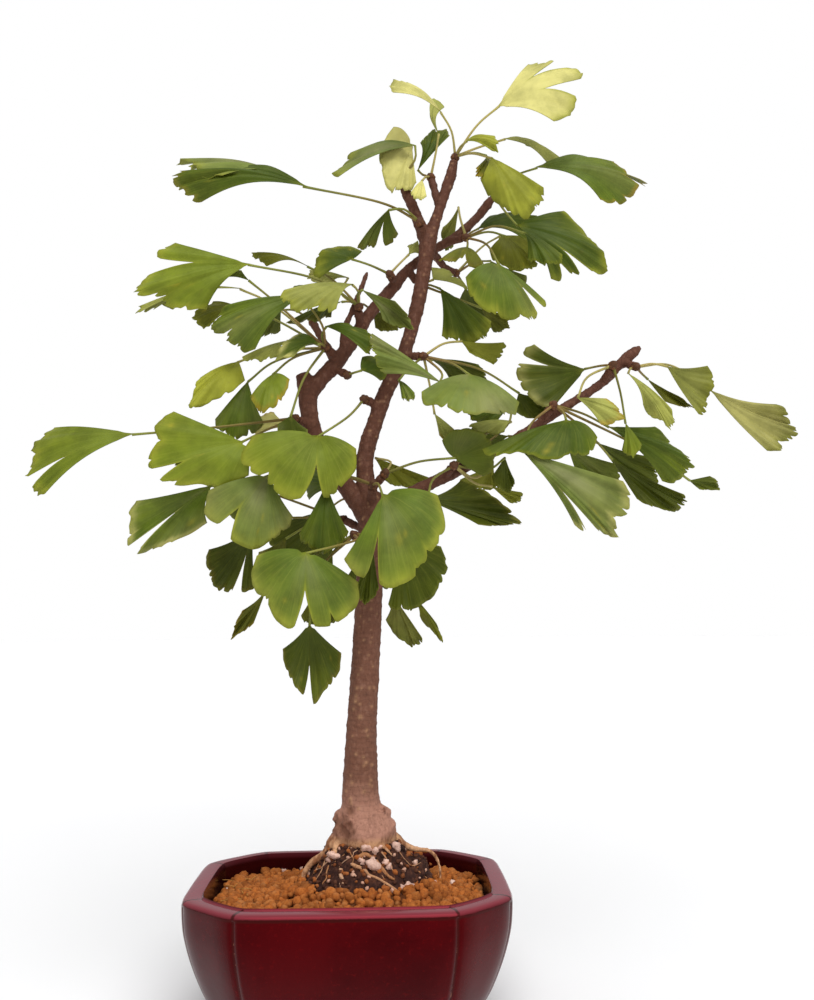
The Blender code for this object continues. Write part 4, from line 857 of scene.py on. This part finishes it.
def seen(x, z, lift=0.0):
    """Where the line of sight through the elevation point (x, z) meets the mound or the soil."""
    for y in np.arange(-60.0, 60.0, 0.5):
        place = sight(x, z, y)
        if place[2] <= max(mound_height(place[0], place[1]), ground_height(place[0], place[1])):
            break
    return place + (0, 0, lift)


def root_path(angle, swing, radius):
    """A root over the mound, from inside the trunk's foot out and down to the soil."""
    rows = []
    for step, (out, lift, share) in enumerate(ROOT_RUN):
        turn = math.radians(angle + swing * step / (len(ROOT_RUN) - 1))
        x = MOUND_CENTRE[0] + out * math.cos(turn) * MOUND_HALF[0] / ROOT_REACH
        y = MOUND_CENTRE[1] + out * math.sin(turn) * MOUND_HALF[1] / ROOT_REACH
        thick = radius * share
        height = MOUND_RINGS[-1][1] + 12
        if lift is not None:
            height = mound_height(x, y) + thick * 0.5 + lift
        rows.append((x, y, height, thick))
    return smooth_path(rows, LIMB_STEP)


def limb_path(limb):
    """A limb of the elevation as rows of x, y, z and radius on a smooth curve."""
    return smooth_path([(*sight(x, z, y), radius) for x, z, y, radius in limb], LIMB_STEP)


def limb_runs():
    """The kind and the smooth rows of every limb, root and spur."""
    runs = [(name, limb_path(limb)) for name, limb in LIMBS.items()]
    runs += [("root", root_path(*root)) for root in BACK_ROOTS]
    runs += [("root", limb_path(root)) for root in FRONT_ROOTS]
    for spray in SPRAYS.values():
        root, tip = sight(*spray.root), sight(*spray.tip)
        length = np.linalg.norm(tip - root)
        share = np.linspace(0, 1, max(4, int(length / 0.9)))
        ridged = SPUR_RADIUS + 0.3 * share + 0.22 * (np.arange(len(share)) % 2)
        runs.append(("spur", np.column_stack([root + np.outer(share, tip - root), ridged])))
    return runs


def remeshed(skin, name, finish):
    """The skin's shapes fused into one even surface."""
    obj = skin.build(name, finish)
    remesh = obj.modifiers.new("fuse", "REMESH")
    remesh.mode = "VOXEL"
    remesh.voxel_size = WOOD_VOXEL * MM
    even = obj.modifiers.new("even", "SMOOTH")
    even.factor = 0.5
    even.iterations = WOOD_SMOOTHING
    mesh = evaluated_mesh(obj)
    bpy.data.objects.remove(obj)
    mesh.materials.clear()
    mesh.materials.append(finish)
    mesh.shade_smooth()
    return added(name, mesh)


def surface_of(obj):
    """Points and normals of an object's mesh in plant millimetres."""
    mesh = obj.data
    points = np.empty(len(mesh.vertices) * 3, np.float32)
    mesh.vertices.foreach_get("co", points)
    normals = np.empty(len(mesh.vertices) * 3, np.float32)
    mesh.vertex_normals.foreach_get("vector", normals)
    return (points.reshape(-1, 3) - PLANT) / MM, normals.reshape(-1, 3).astype(float)


def set_points(obj, points):
    """Moves an object's points to places in plant millimetres."""
    placed = (points * MM + PLANT).astype(np.float32)
    obj.data.vertices.foreach_set("co", placed.ravel())
    obj.data.update()


def noise_at(points, scale, octaves=3, seed=0.0):
    """Fractal noise at each point, about -1 to 1, with features of the given size."""
    shift = Vector((seed, seed * 0.7, seed * 1.3))
    return np.array([noise.fractal(Vector(point) / scale + shift, 0.9, 2.1, octaves)
                     for point in points])


def travelled(path):
    """How far along the path each of its points lies."""
    steps = np.linalg.norm(np.diff(path, axis=0), axis=1)
    return np.concatenate([[0], np.cumsum(steps)])


def nearness(points, centre, reach):
    """1 at the centre, falling off smoothly over the reach."""
    return np.exp(-(np.linalg.norm(points - centre, axis=1) / reach) ** 2)


def make_wood(finish):
    """Trunk, limbs, roots and spurs fused, with bark raised and tinted over them."""
    skin = Skin()
    runs = limb_runs()
    for name, rows in runs:
        sides = TRUNK_SIDES if name == "trunk" else LIMB_SIDES
        points, faces = tube(rows[:, :3], rows[:, 3], sides)
        skin.add(points, faces, BLACK)
    draw = random.Random(SEED + 5)
    for x, z, y, size in KNOBS:
        points, faces = ball(size, 8, 12)
        points = rough(points, 0.4, size * 0.7, draw.uniform(0, 9))
        skin.add(points + sight(x, z, y), faces, BLACK)
    wood = remeshed(skin, "tree", finish)
    points, normals = surface_of(wood)
    axis = np.vstack([rows for _, rows in runs])
    kinds = np.concatenate([[name] * len(rows) for name, rows in runs])
    travel = np.concatenate([travelled(rows[:, :3]) for _, rows in runs])
    tree = kdtree.KDTree(len(axis))
    for index, row in enumerate(axis):
        tree.insert(row[:3], index)
    tree.balance()
    nearest = np.array([tree.find(point)[1] for point in points])
    along = travel[nearest]
    kind = kinds[nearest]
    height = points[:, 2]
    is_root = kind == "root"
    coarse = noise_at(points, 9.0, 2, 3.0)
    fine = noise_at(points * (1, 1, 0.45), 1.6, 3, 8.0)
    bands = smooth_step(0.35, 0.8, np.sin(along * 0.9 + coarse * 2))
    swell = 0.35 * coarse + 0.16 * fine + 0.22 * bands
    swell *= np.where(is_root, 0.7, 1.0)
    foot = (1 - smooth_step(106, 120, height)) * ~is_root
    swell += 0.6 * foot * noise_at(points, 4.5, 2, 1.0)
    tint = bark_tint(points, kind, height, coarse, fine)
    # The pits are dented in and darkened; the darker colour is painted shade.
    for x, z, y, size in PITS:
        near = nearness(points, sight(x, z, y), size * 1.5)
        swell -= 0.9 * size * near
        tint = toned(tint, "pit shade", 0.65 * np.minimum(1, 1.2 * near))
    for centre, size in lenticels(axis[kinds == "trunk"], axis[kinds == "leader"], draw):
        near = nearness(points, centre, size)
        swell += 0.475 * size * near
        tint = toned(tint, "pore", 0.6 * near)
    set_points(wood, points + normals * swell[:, None])
    fan = np.column_stack([along / 10, height / 100, is_root])
    paint(wood.data, tint, fan)
    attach(wood, "root")
    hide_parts("tree_wood")


def bark_tint(points, kind, height, coarse, fine):
    """Pale pinkish at the swollen foot, reddish brown above, tan on the roots."""
    pale, brown, twig = linear("foot"), linear("trunk"), linear("twig")
    tint = mixed(pale, brown, smooth_step(102, 134, height + 6 * coarse))
    tint = mixed(tint, twig, 0.9 * smooth_step(240, 330, height + 10 * coarse))
    tint = toned(tint, "furrow", 0.28 * smooth_step(0.25, 0.9, fine + 0.4 * coarse))
    tint = toned(tint, "dust", 0.2 * smooth_step(0.1, 0.8, -fine))
    # Painted shade on the left side of the foot, in patches that follow the bark's fine noise.
    shaded_left_side = (1 - smooth_step(-6, 6, points[:, 0])) * (1 - smooth_step(104, 112, height))
    shade_share = 0.25 + 0.6 * smooth_step(-0.2, 0.6, fine)
    tint = toned(tint, "shaded foot", shaded_left_side * shade_share)
    away = np.hypot(points[:, 0] - MOUND_CENTRE[0], points[:, 1])
    # The roots' darker patches, placed by noise, are painted shade.
    rooty = mixed(linear("root"), linear("root shade"), smooth_step(-0.3, 0.7, fine + coarse))
    share = (kind == "root") * smooth_step(14, 18, away) * (1 - smooth_step(94, 99, height))
    tint = mixed(tint, rooty, share)
    tint = toned(tint, "earthy", 0.8 * (1 - smooth_step(88, 94, height)) * (1 - share))
    spur = (kind == "spur")[:, None]
    return np.where(spur, mixed(tint, linear("spur"), 0.6), tint)


def lenticels(trunk, leader, draw):
    """Centres and sizes of the raised pores on the bark, in loose upright rows."""
    found = []
    rows = np.vstack([trunk[trunk[:, 2] > 112], leader[::2]])
    for _ in range(PORES):
        x, y, z, radius = rows[draw.randrange(len(rows))]
        angle = draw.choice([-2.15, -1.75, -1.3, -0.9, draw.uniform(0, TAU), draw.uniform(0, TAU)])
        angle += draw.uniform(-0.12, 0.12)
        place = np.array([x + radius * math.cos(angle), y + radius * math.sin(angle), z])
        found.append((place, draw.uniform(0.6, 1.05) * (1.1 if z < 190 else 0.8)))
    return found


# Pot, soil and mound.


def eight_sided(inset, crease, inner):
    """The pot's outline, moved in by inset, with its corners drawn in by crease.

    Each side has inner points between those near its corners.
    """
    half_x = POT_HALF_LENGTH - inset
    half_y = POT_HALF_DEPTH - inset
    run = np.array([POT_HALF_LENGTH - FRONT_HALF, POT_HALF_DEPTH - END_HALF])
    normal = unit(run[::-1])
    line = normal.dot([FRONT_HALF, POT_HALF_DEPTH]) - inset
    front = (line - normal[1] * half_y) / normal[0]
    end = (line - normal[0] * half_x) / normal[1]
    corners = np.array([(front, -half_y), (half_x, -end), (half_x, end), (front, half_y),
                        (-front, half_y), (-half_x, end), (-half_x, -end), (-front, -half_y)])
    points = []
    creases = []
    for corner, following in zip(corners, np.roll(corners, -1, axis=0)):
        side = following - corner
        length = np.linalg.norm(side)
        outward = np.array([side[1], -side[0]]) / length
        bow = SIDE_BOW * length / (2 * POT_HALF_LENGTH)
        near = CREASE_WIDTH / length
        soft = ROUND_WIDTH / length
        steps = [0, near * 0.25, near * 0.5, near * 0.75]
        steps += [near + (1 - 2 * near) * step / (inner + 1) for step in range(inner + 2)]
        steps += [1 - near * 0.75, 1 - near * 0.5, 1 - near * 0.25]
        for step in steps:
            close = max(0, 1 - min(step, 1 - step) / near)
            place = corner + side * step + outward * bow * (1 - (2 * step - 1) ** 2)
            drawn = crease * close ** 1.6 + ROUND * max(0, 1 - min(step, 1 - step) / soft) ** 2
            points.append(place * (1 - drawn / np.linalg.norm(corner)))
            creases.append(close)
    return np.array(points), np.array(creases)


def level(outline, height):
    """The outline as a ring of points at one height."""
    return np.column_stack([outline, np.full(len(outline), height)])


def make_pot(finish):
    """The glazed dish with its feet and drain holes."""
    profile = smooth_path([(inset, 0, height) for height, inset in POT_RINGS], 1.1)
    turnover = int(np.argmax(profile[:, 2]))
    rings = []
    fans = []
    for index, (inset, _, height) in enumerate(profile):
        outside = index < turnover
        crease = CREASE if outside and CREASED_HEIGHTS[0] < height < CREASED_HEIGHTS[1] else 0
        outline, close = eight_sided(inset, crease, 9)
        rings.append(level(outline, height))
        rim = math.exp(-((height - RIM_LINE) / 0.9) ** 2) if outside else 0
        line = np.maximum(close ** 2 * (1 if outside else 0.3), rim)
        fans.append(np.column_stack([line, np.full(len(line), height / POT_HEIGHT),
                                     np.full(len(line), 0 if outside else 1)]))
    points = np.concatenate(rings + [[(0, 0, POT_RINGS[0][0])], [(0, 0, POT_RINGS[-1][0])]])
    fan = np.concatenate(fans + [[(0, 0, 0)], [(0, 0, 1)]])
    skin = Skin()
    skin.add(points, capped_faces(len(rings), len(rings[0])), BLACK, fan)
    pot = skin.build("pot_glazed", finish)
    helpers = []
    for side_x in (-1, 1):
        for side_y in (-1, 1):
            bpy.ops.mesh.primitive_cube_add(size=1)
            foot = bpy.context.object
            centre = np.array([side_x * FOOT_CENTRE[0], side_y * FOOT_CENTRE[1], FOOT_SIZE[2] / 2])
            foot.data.transform(Matrix.Diagonal((*(size * MM for size in FOOT_SIZE), 1)))
            foot.data.transform(Matrix.Translation(centre * MM + PLANT))
            bevel = foot.modifiers.new("soft", "BEVEL")
            bevel.width = FOOT_EDGE * MM
            bevel.segments = 3
            helpers.append(joined(pot, foot, "UNION"))
        bpy.ops.mesh.primitive_cylinder_add(vertices=40, radius=DRAIN_RADIUS * MM, depth=0.04)
        hole = bpy.context.object
        hole.data.transform(Matrix.Translation(np.array([side_x * DRAIN_X * MM, 0, 0]) + PLANT))
        helpers.append(joined(pot, hole, "DIFFERENCE"))
    mesh = evaluated_mesh(pot)
    pot.modifiers.clear()
    pot.data = mesh
    mesh.set_sharp_from_angle(angle=math.radians(50))
    for helper in helpers:
        bpy.data.objects.remove(helper)
    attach(pot, "root")
    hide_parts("pot")


def joined(obj, other, operation):
    """Adds the other object to this one, or cuts it out, and returns the other."""
    step = obj.modifiers.new(other.name, "BOOLEAN")
    step.operation = operation
    step.object = other
    step.solver = "MANIFOLD"
    return other


def add_grain(skin, place, size, tint, draw, rows=6, columns=8, rough_by=0.3):
    """One rough lump, turned at random."""
    points, faces = ball(size, rows, columns)
    stretch = (draw.uniform(0.85, 1.25), draw.uniform(0.85, 1.15), draw.uniform(0.65, 0.95))
    points = rough(points * stretch, rough_by, size * 0.9, draw.uniform(0, 40))
    heading = (draw.uniform(-1, 1), draw.uniform(-1, 1), draw.uniform(-1, 1) + 0.01)
    skin.add(points @ turned_to(heading).T + place, faces, tint)


def make_soil(finish):
    """A bed of soil under two layers of loose granules, with a few straws."""
    draw = random.Random(SEED + 2)
    skin = Skin()
    rings = [level(eight_sided(inset, 0, 3)[0], height) for height, inset in SOIL_WALL]
    edge = eight_sided(SOIL_EDGE, 0, 3)[0]
    for share in np.linspace(1, 0.08, 16):
        rings.append(np.array([(x * share, y * share, ground_height(x * share, y * share) - 1.6)
                               for x, y in edge]))
    middle = [(0, 0, SOIL_WALL[0][0]), (0, 0, rings[-1][0][2])]
    # The bed is the granules' brown made darker, as painted shade in the gaps between them.
    skin.add(np.concatenate(rings + [middle]), capped_faces(len(rings), len(edge)),
             linear("shaded soil"))
    half_x = POT_HALF_LENGTH - SOIL_EDGE
    half_y = POT_HALF_DEPTH - SOIL_EDGE
    corner = (FRONT_HALF - SOIL_EDGE * 0.42) / half_x + 1
    for layer, (lift, keep) in enumerate(GRANULE_LAYERS):
        for row in range(int(2 * half_y / GRANULE_ROW)):
            for column in range(int(2 * half_x / GRANULE_PITCH) + 1):
                x = GRANULE_PITCH * (column + 0.5 * (row % 2)) - half_x
                y = GRANULE_ROW * (row + 0.5 * layer) - half_y
                x += draw.uniform(-JITTER, JITTER)
                y += draw.uniform(-JITTER, JITTER)
                kept = draw.random() < keep
                size = draw.choice(GRANULE_SIZES) * draw.uniform(0.9, 1.1)
                inside = (abs(x) < half_x - size * 0.8 and abs(y) < half_y - size * 0.8
                          and abs(x) / half_x + abs(y) / half_y < corner - 0.03)
                if not kept or not inside or mound_height(x, y) > ground_height(x, y) + 1:
                    continue
                tint = linear("granule") * draw.uniform(0.6, 1.2)
                tint = toned(tint, "pale granule", draw.uniform(0, 0.5))
                if draw.random() < WHITE_SHARE:
                    tint = linear("white grain")
                    size *= 0.8
                add_grain(skin, (x, y, ground_height(x, y) + lift), size, tint, draw)
    for _ in range(STRAWS):
        x = -half_x + draw.uniform(8, 26)
        y = draw.uniform(-16, 34)
        start = np.array([x, y, ground_height(x, y) + 2.2])
        turn = draw.uniform(0, TAU)
        reach = draw.uniform(4, 9)
        reach *= np.array([math.cos(turn), math.sin(turn), draw.uniform(0, 0.25)])
        path = smooth_path([start, start + reach * 0.5 + (0, 0, 0.5), start + reach], 1.5)
        points, faces = tube(path, np.full(len(path), 0.22), 5)
        skin.add(points, faces, linear("straw"))
    soil = skin.build("soil_granules", finish)
    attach(soil, "root")
    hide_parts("soil")


def make_mound(finish):
    """The peat's crumbly dome with its stones, clods, crumbs and thin roots."""
    draw = random.Random(SEED + 3)
    skin = Skin()
    turn = TAU * np.arange(PEAT_COLUMNS) / PEAT_COLUMNS
    points = np.array([(MOUND_CENTRE[0] + share * MOUND_HALF[0] * math.cos(angle),
                        MOUND_CENTRE[1] + share * MOUND_HALF[1] * math.sin(angle), 0)
                       for share in np.linspace(1.04, 0.3, PEAT_RINGS) for angle in turn])
    points[:, 2] = [mound_height(x, y) for x, y, _ in points]
    points[:, 2] += 1.3 * noise_at(points, 5.0, 4, 2.0)
    points[:, :2] += 0.6 * noise_at(points, 3.0, 3, 6.0)[:, None]
    crumb = smooth_step(-0.2, 0.8, noise_at(points, 2.2, 2, 4.0))
    tint = mixed(linear("peat"), linear("peat crumb"), crumb)
    skin.add(points, [grid_faces(PEAT_RINGS, PEAT_COLUMNS, around=True)], tint)
    for x, z, size in STONES:
        tint = linear("pumice") * draw.uniform(0.85, 1.0)
        add_grain(skin, seen(x, z, 0.3 * size), size, tint, draw, 8, 10, 0.8)
    for x, z, size in CLODS:
        add_grain(skin, seen(x, z, 0.3 * size), size, linear("clod"), draw, 7, 9)
    for _ in range(CRUMB_COUNT):
        angle = draw.uniform(0, TAU)
        radius = draw.uniform(14, 38)
        x = MOUND_CENTRE[0] + radius * math.cos(angle)
        y = MOUND_CENTRE[1] + radius * math.sin(angle) * MOUND_HALF[1] / MOUND_HALF[0]
        tint = linear(draw.choice(CRUMBS))
        place = (x, y, mound_height(x, y) + 0.4)
        add_grain(skin, place, draw.uniform(0.5, 1.5), tint, draw, 5, 6)
    for thick, route in THIN_ROOTS:
        add_thin_root(skin, [seen(x, z, 0.5 * thick) for x, z in route], thick, draw)
    for _ in range(DRY_ROOT_COUNT):
        angle = draw.uniform(0, TAU)
        radius = draw.uniform(0.45, 0.7)
        reach = draw.uniform(0.15, 0.35)
        swing = draw.uniform(-0.5, 0.5)
        path = []
        for share in np.linspace(0, 1, 6):
            turn = angle + swing * share + draw.uniform(-0.05, 0.05)
            x = MOUND_CENTRE[0] + (radius + reach * share) * MOUND_HALF[0] * math.cos(turn)
            y = MOUND_CENTRE[1] + (radius + reach * share) * MOUND_HALF[1] * math.sin(turn)
            path.append((x, y, mound_height(x, y) + draw.uniform(0.2, 0.7)))
        add_thin_root(skin, path, draw.uniform(0.25, 0.5), draw)
    mound = skin.build("mound_peat", finish)
    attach(mound, "root")
    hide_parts("root_mound")


def add_thin_root(skin, path, thick, draw):
    """A dry root that creeps over the mound and thins towards its end."""
    rows = smooth_path(path, 0.8)
    share = np.linspace(0, 1, len(rows))
    radii = thick * (1 - 0.45 * share) * (1 + 0.12 * np.sin(9 * share + draw.uniform(0, 6)))
    points, faces = tube(rows, radii, 8)
    tint = linear(draw.choice(DRY_ROOTS))
    skin.add(rough(points, 0.02, 4.0, draw.uniform(0, 9)), faces, tint)


# Materials.


class Nodes:
    """Short names for the nodes of a material or of the world."""

    def __init__(self, owner):
        owner.use_nodes = True
        self.owner = owner
        self.tree = owner.node_tree

    def node(self, kind, values=None, **settings):
        made = self.tree.nodes.new(kind)
        for key, value in settings.items():
            setattr(made, key, value)
        for key, value in (values or {}).items():
            self.feed(made.inputs[key], value)
        return made

    def feed(self, socket, value):
        if isinstance(value, bpy.types.NodeSocket):
            self.tree.links.new(value, socket)
        else:
            socket.default_value = value

    def attribute(self, name, output):
        return self.node("ShaderNodeAttribute", attribute_name=name).outputs[output]

    def place(self):
        return self.node("ShaderNodeTexCoord").outputs["Object"]

    def stretched(self, vector, scale):
        return self.node("ShaderNodeMapping", {"Vector": vector, "Scale": scale}).outputs[0]

    def parts(self, vector):
        return self.node("ShaderNodeSeparateXYZ", {0: vector}).outputs

    def math(self, operation, first, second=0.0):
        return self.node("ShaderNodeMath", {0: first, 1: second}, operation=operation).outputs[0]

    def noise(self, scale, detail=4.0, rough=0.55, vector=None, distortion=0.0):
        made = self.node("ShaderNodeTexNoise", {
            "Vector": vector or self.place(), "Scale": scale, "Detail": detail, "Roughness": rough,
            "Distortion": distortion})
        return made.outputs["Fac"]

    def range(self, value, low, high, to_low=0.0, to_high=1.0):
        ends = {"From Min": low, "From Max": high, "To Min": to_low, "To Max": to_high}
        made = self.node("ShaderNodeMapRange", {"Value": value, **ends},
                         interpolation_type="SMOOTHSTEP")
        return made.outputs["Result"]

    def mix(self, share, first, second, blend="MIX"):
        made = self.node("ShaderNodeMix", data_type="RGBA", blend_type=blend)
        self.feed(made.inputs["Factor"], share)
        self.feed(made.inputs["A"], first)
        self.feed(made.inputs["B"], second)
        return made.outputs["Result"]

    def over(self, under, colour, value, low, high, share=1.0, blend="MIX"):
        """The colour laid over another, up to share, where value runs from low to high."""
        return self.mix(self.range(value, low, high, 0.0, share), under, rgba(colour), blend)

    def surface(self, colour, roughness, specular, relief=None, strength=0.0, depth_mm=0.0):
        """Sets the Principled surface, with relief as its bump, and returns the material."""
        sockets = self.tree.nodes["Principled BSDF"].inputs
        self.feed(sockets["Base Color"], colour)
        self.feed(sockets["Roughness"], roughness)
        sockets["Specular IOR Level"].default_value = specular
        if relief:
            bump = self.node("ShaderNodeBump", {"Height": relief, "Strength": strength,
                                                "Distance": depth_mm * MM})
            self.feed(sockets["Normal"], bump.outputs["Normal"])
        return self.owner


def new_finish(name):
    return Nodes(bpy.data.materials.new(name))


def rgba(colour):
    """A screen colour as a shader socket takes it."""
    return (*(float(part) for part in linear(colour)), 1.0)


def leaf_finish():
    """Tint with mottling, fine streaks that run out from the base, and a satin cuticle."""
    made = new_finish("ginkgo_leaf")
    tint = made.attribute("tint", "Color")
    fan = made.attribute("fan", "Vector")
    veins = made.noise(1.0, 3.0, 0.6, made.stretched(fan, (26.0, 0.05, 1.0)))
    fine_veins = made.noise(1.0, 2.0, 0.5, made.stretched(fan, (70.0, 0.04, 1.0)))
    mottle = made.noise(55.0, 5.0, 0.6)
    speck = made.noise(260.0, 3.0, 0.5)
    colour = made.over(tint, "mottle", mottle, 0.35, 0.7, 0.35, "MULTIPLY")
    colour = made.over(colour, "vein", veins, 0.45, 0.75, 0.10)
    colour = made.over(colour, "fine vein", fine_veins, 0.5, 0.8, 0.07)
    colour = made.over(colour, "speck", speck, 0.6, 0.78, 0.16)
    relief = made.math("ADD", made.math("MULTIPLY", fine_veins, 0.8),
                       made.math("MULTIPLY", mottle, 1.2))
    satin = made.range(mottle, 0.25, 0.75, 0.44, 0.62)
    return made.surface(colour, satin, 0.16, relief, 0.3, 0.35)


def bark_finish():
    """Tint with fine cracks, bands across the limb and dusty high spots."""
    made = new_finish("ginkgo_bark")
    tint = made.attribute("tint", "Color")
    grain = made.noise(700.0, 6.0, 0.65, made.stretched(made.place(), (1.0, 1.0, 0.35)))
    patch = made.noise(180.0, 4.0, 0.6)
    along = made.parts(made.attribute("fan", "Vector"))[0]
    band = made.math("SINE", made.math("ADD", made.math("MULTIPLY", along, 21.0),
                                       made.math("MULTIPLY", patch, 14.0)))
    band = made.range(band, 0.55, 1.0)
    colour = made.over(tint, "crack", grain, 0.45, 0.75, 0.45)
    colour = made.mix(made.math("MULTIPLY", band, 0.16), colour, rgba("band"))
    colour = made.over(colour, "bark patch", patch, 0.55, 0.75, 0.2)
    relief = made.math("ADD", grain, made.math("MULTIPLY", band, 0.5))
    return made.surface(colour, made.range(patch, 0.3, 0.7, 0.62, 0.85), 0.2, relief, 0.55, 0.5)


def glaze_finish():
    """Deep oxblood glaze, mottled, that breaks to brown where it runs thin on the edges."""
    made = new_finish("oxblood_glaze")
    line, height, inside = made.parts(made.attribute("fan", "Vector"))
    cloud = made.noise(20.0, 5.0, 0.6, distortion=0.4)
    fleck = made.noise(420.0, 4.0, 0.6)
    ragged = made.noise(300.0, 5.0, 0.7)
    red = made.mix(made.range(cloud, 0.35, 0.68), rgba("red"), rgba("warm red"))
    red = made.over(red, "fleck", fleck, 0.55, 0.75, 0.5)
    # The flat top of the rim turns pink: a painted reflection of the light on it.
    red = made.over(red, "rim", height, 0.955, 1.0, 0.8)
    red = made.mix(made.math("MULTIPLY", inside, 0.75), red, rgba("inner wall"))
    broken = made.math("MULTIPLY", line, made.math("ADD", ragged, 0.2))
    colour = made.over(red, "thin glaze", broken, 0.25, 0.55, 0.85)
    colour = made.over(colour, "bare edge", broken, 0.72, 0.86)
    sockets = made.tree.nodes["Principled BSDF"].inputs
    sockets["Specular Tint"].default_value = rgba("gleam")
    relief = made.math("ADD", made.noise(60.0, 3.0, 0.5), made.math("MULTIPLY", fleck, 0.12))
    return made.surface(colour, made.range(cloud, 0.3, 0.7, 0.14, 0.24), 0.4, relief, 0.2, 0.7)


def clay_finish():
    """Tint with a crumbly surface, with painted shade in a fine pore pattern, and dusty in
    patches.
    """
    made = new_finish("baked_clay")
    tint = made.attribute("tint", "Color")
    pores = made.noise(900.0, 5.0, 0.65)
    patch = made.noise(225.0, 3.0, 0.5)
    # Painted shade: a fine pore pattern darkens the clay.
    colour = made.over(tint, "clay shade", pores, 0.35, 0.7, 0.55, "MULTIPLY")
    colour = made.over(colour, "clay dust", patch, 0.5, 0.75, 0.25)
    return made.surface(colour, 0.92, 0.2, pores, 0.6, 0.6)


def peat_finish():
    """Tint with dark pores, damp and crumbly."""
    made = new_finish("dark_peat")
    tint = made.attribute("tint", "Color")
    pores = made.noise(700.0, 6.0, 0.7)
    colour = made.over(tint, "peat hollow", pores, 0.35, 0.7, 0.6, "MULTIPLY")
    return made.surface(colour, made.range(pores, 0.3, 0.7, 0.8, 0.95), 0.25, pores, 0.8, 0.8)


def floor_finish():
    """Plain pale studio floor."""
    made = new_finish("studio_floor")
    soft = made.noise(3.0, 2.0, 0.4)
    colour = made.mix(soft, rgba("floor shade"), rgba("floor"))
    return made.surface(colour, 0.7, 0.5)


# Stage, light and camera.


def make_stage():
    """A wide pale floor under an even sky, with a white backdrop behind."""
    bpy.ops.mesh.primitive_circle_add(vertices=96, radius=9.0, fill_type="NGON")
    floor = bpy.context.object
    floor.name = "studio_floor"
    floor.data.materials.append(floor_finish())
    world = bpy.data.worlds.new("studio")
    bpy.context.scene.world = world
    made = Nodes(world)
    height = made.parts(made.node("ShaderNodeTexCoord").outputs["Generated"])[2]
    ramp = made.node("ShaderNodeValToRGB", {0: height})
    horizon, zenith = ramp.color_ramp.elements
    horizon.color = SKY_LOW
    zenith.color = SKY_HIGH
    zenith.position = 0.9
    light = made.tree.nodes["Background"]
    made.feed(light.inputs["Color"], ramp.outputs[0])
    made.feed(light.inputs["Strength"], SKY_STRENGTH)
    backdrop = made.node("ShaderNodeBackground", {"Color": (1, 1, 1, 1), "Strength": 1.0})
    both = made.node("ShaderNodeMixShader", {
        0: made.node("ShaderNodeLightPath").outputs["Is Camera Ray"], 1: light.outputs[0],
        2: backdrop.outputs[0]})
    made.feed(made.tree.nodes["World Output"].inputs[0], both.outputs[0])


def make_lights():
    """One wide, soft sun from the upper left."""
    data = bpy.data.lights.new("key", "SUN")
    data.energy = SUN_STRENGTH
    data.angle = SUN_ANGLE
    key = added("key", data)
    key.rotation_euler = Vector(SUN_HEADING).to_track_quat("-Z", "Y").to_euler()


def make_camera():
    """The photograph's camera, at EYE."""
    yaw, pitch, roll = (math.radians(angle) for angle in (CAMERA_YAW, CAMERA_PITCH, CAMERA_ROLL))
    turned = Matrix.Rotation(yaw, 3, "Z") @ Matrix.Rotation(-pitch, 3, "X")
    turned = turned @ Matrix.Rotation(-roll, 3, "Y") @ Matrix.Rotation(math.pi / 2, 3, "X")
    data = bpy.data.cameras.new("camera")
    data.sensor_fit = "VERTICAL"
    data.sensor_height = SENSOR
    data.lens = FOCAL / IMAGE[1] * SENSOR
    data.clip_start = 0.02
    camera = added("camera", data)
    camera.matrix_world = Matrix.Translation(EYE * MM + PLANT) @ turned.to_4x4()
    bpy.context.scene.camera = camera


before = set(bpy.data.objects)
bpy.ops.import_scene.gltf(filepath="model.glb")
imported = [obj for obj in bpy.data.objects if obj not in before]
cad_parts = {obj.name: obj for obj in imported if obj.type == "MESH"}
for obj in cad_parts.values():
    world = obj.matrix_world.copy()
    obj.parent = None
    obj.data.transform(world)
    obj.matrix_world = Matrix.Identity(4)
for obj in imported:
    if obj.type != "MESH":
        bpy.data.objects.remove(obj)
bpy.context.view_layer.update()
low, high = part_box("pot")
PLANT = np.array([(low.x + high.x) / 2, (low.y + high.y) / 2, 0.0])
bpy.context.scene.view_settings.view_transform = "Standard"
make_camera()
make_stage()
make_lights()
make_pot(glaze_finish())
make_soil(clay_finish())
make_mound(peat_finish())
make_wood(bark_finish())
make_sprays(leaf_finish())
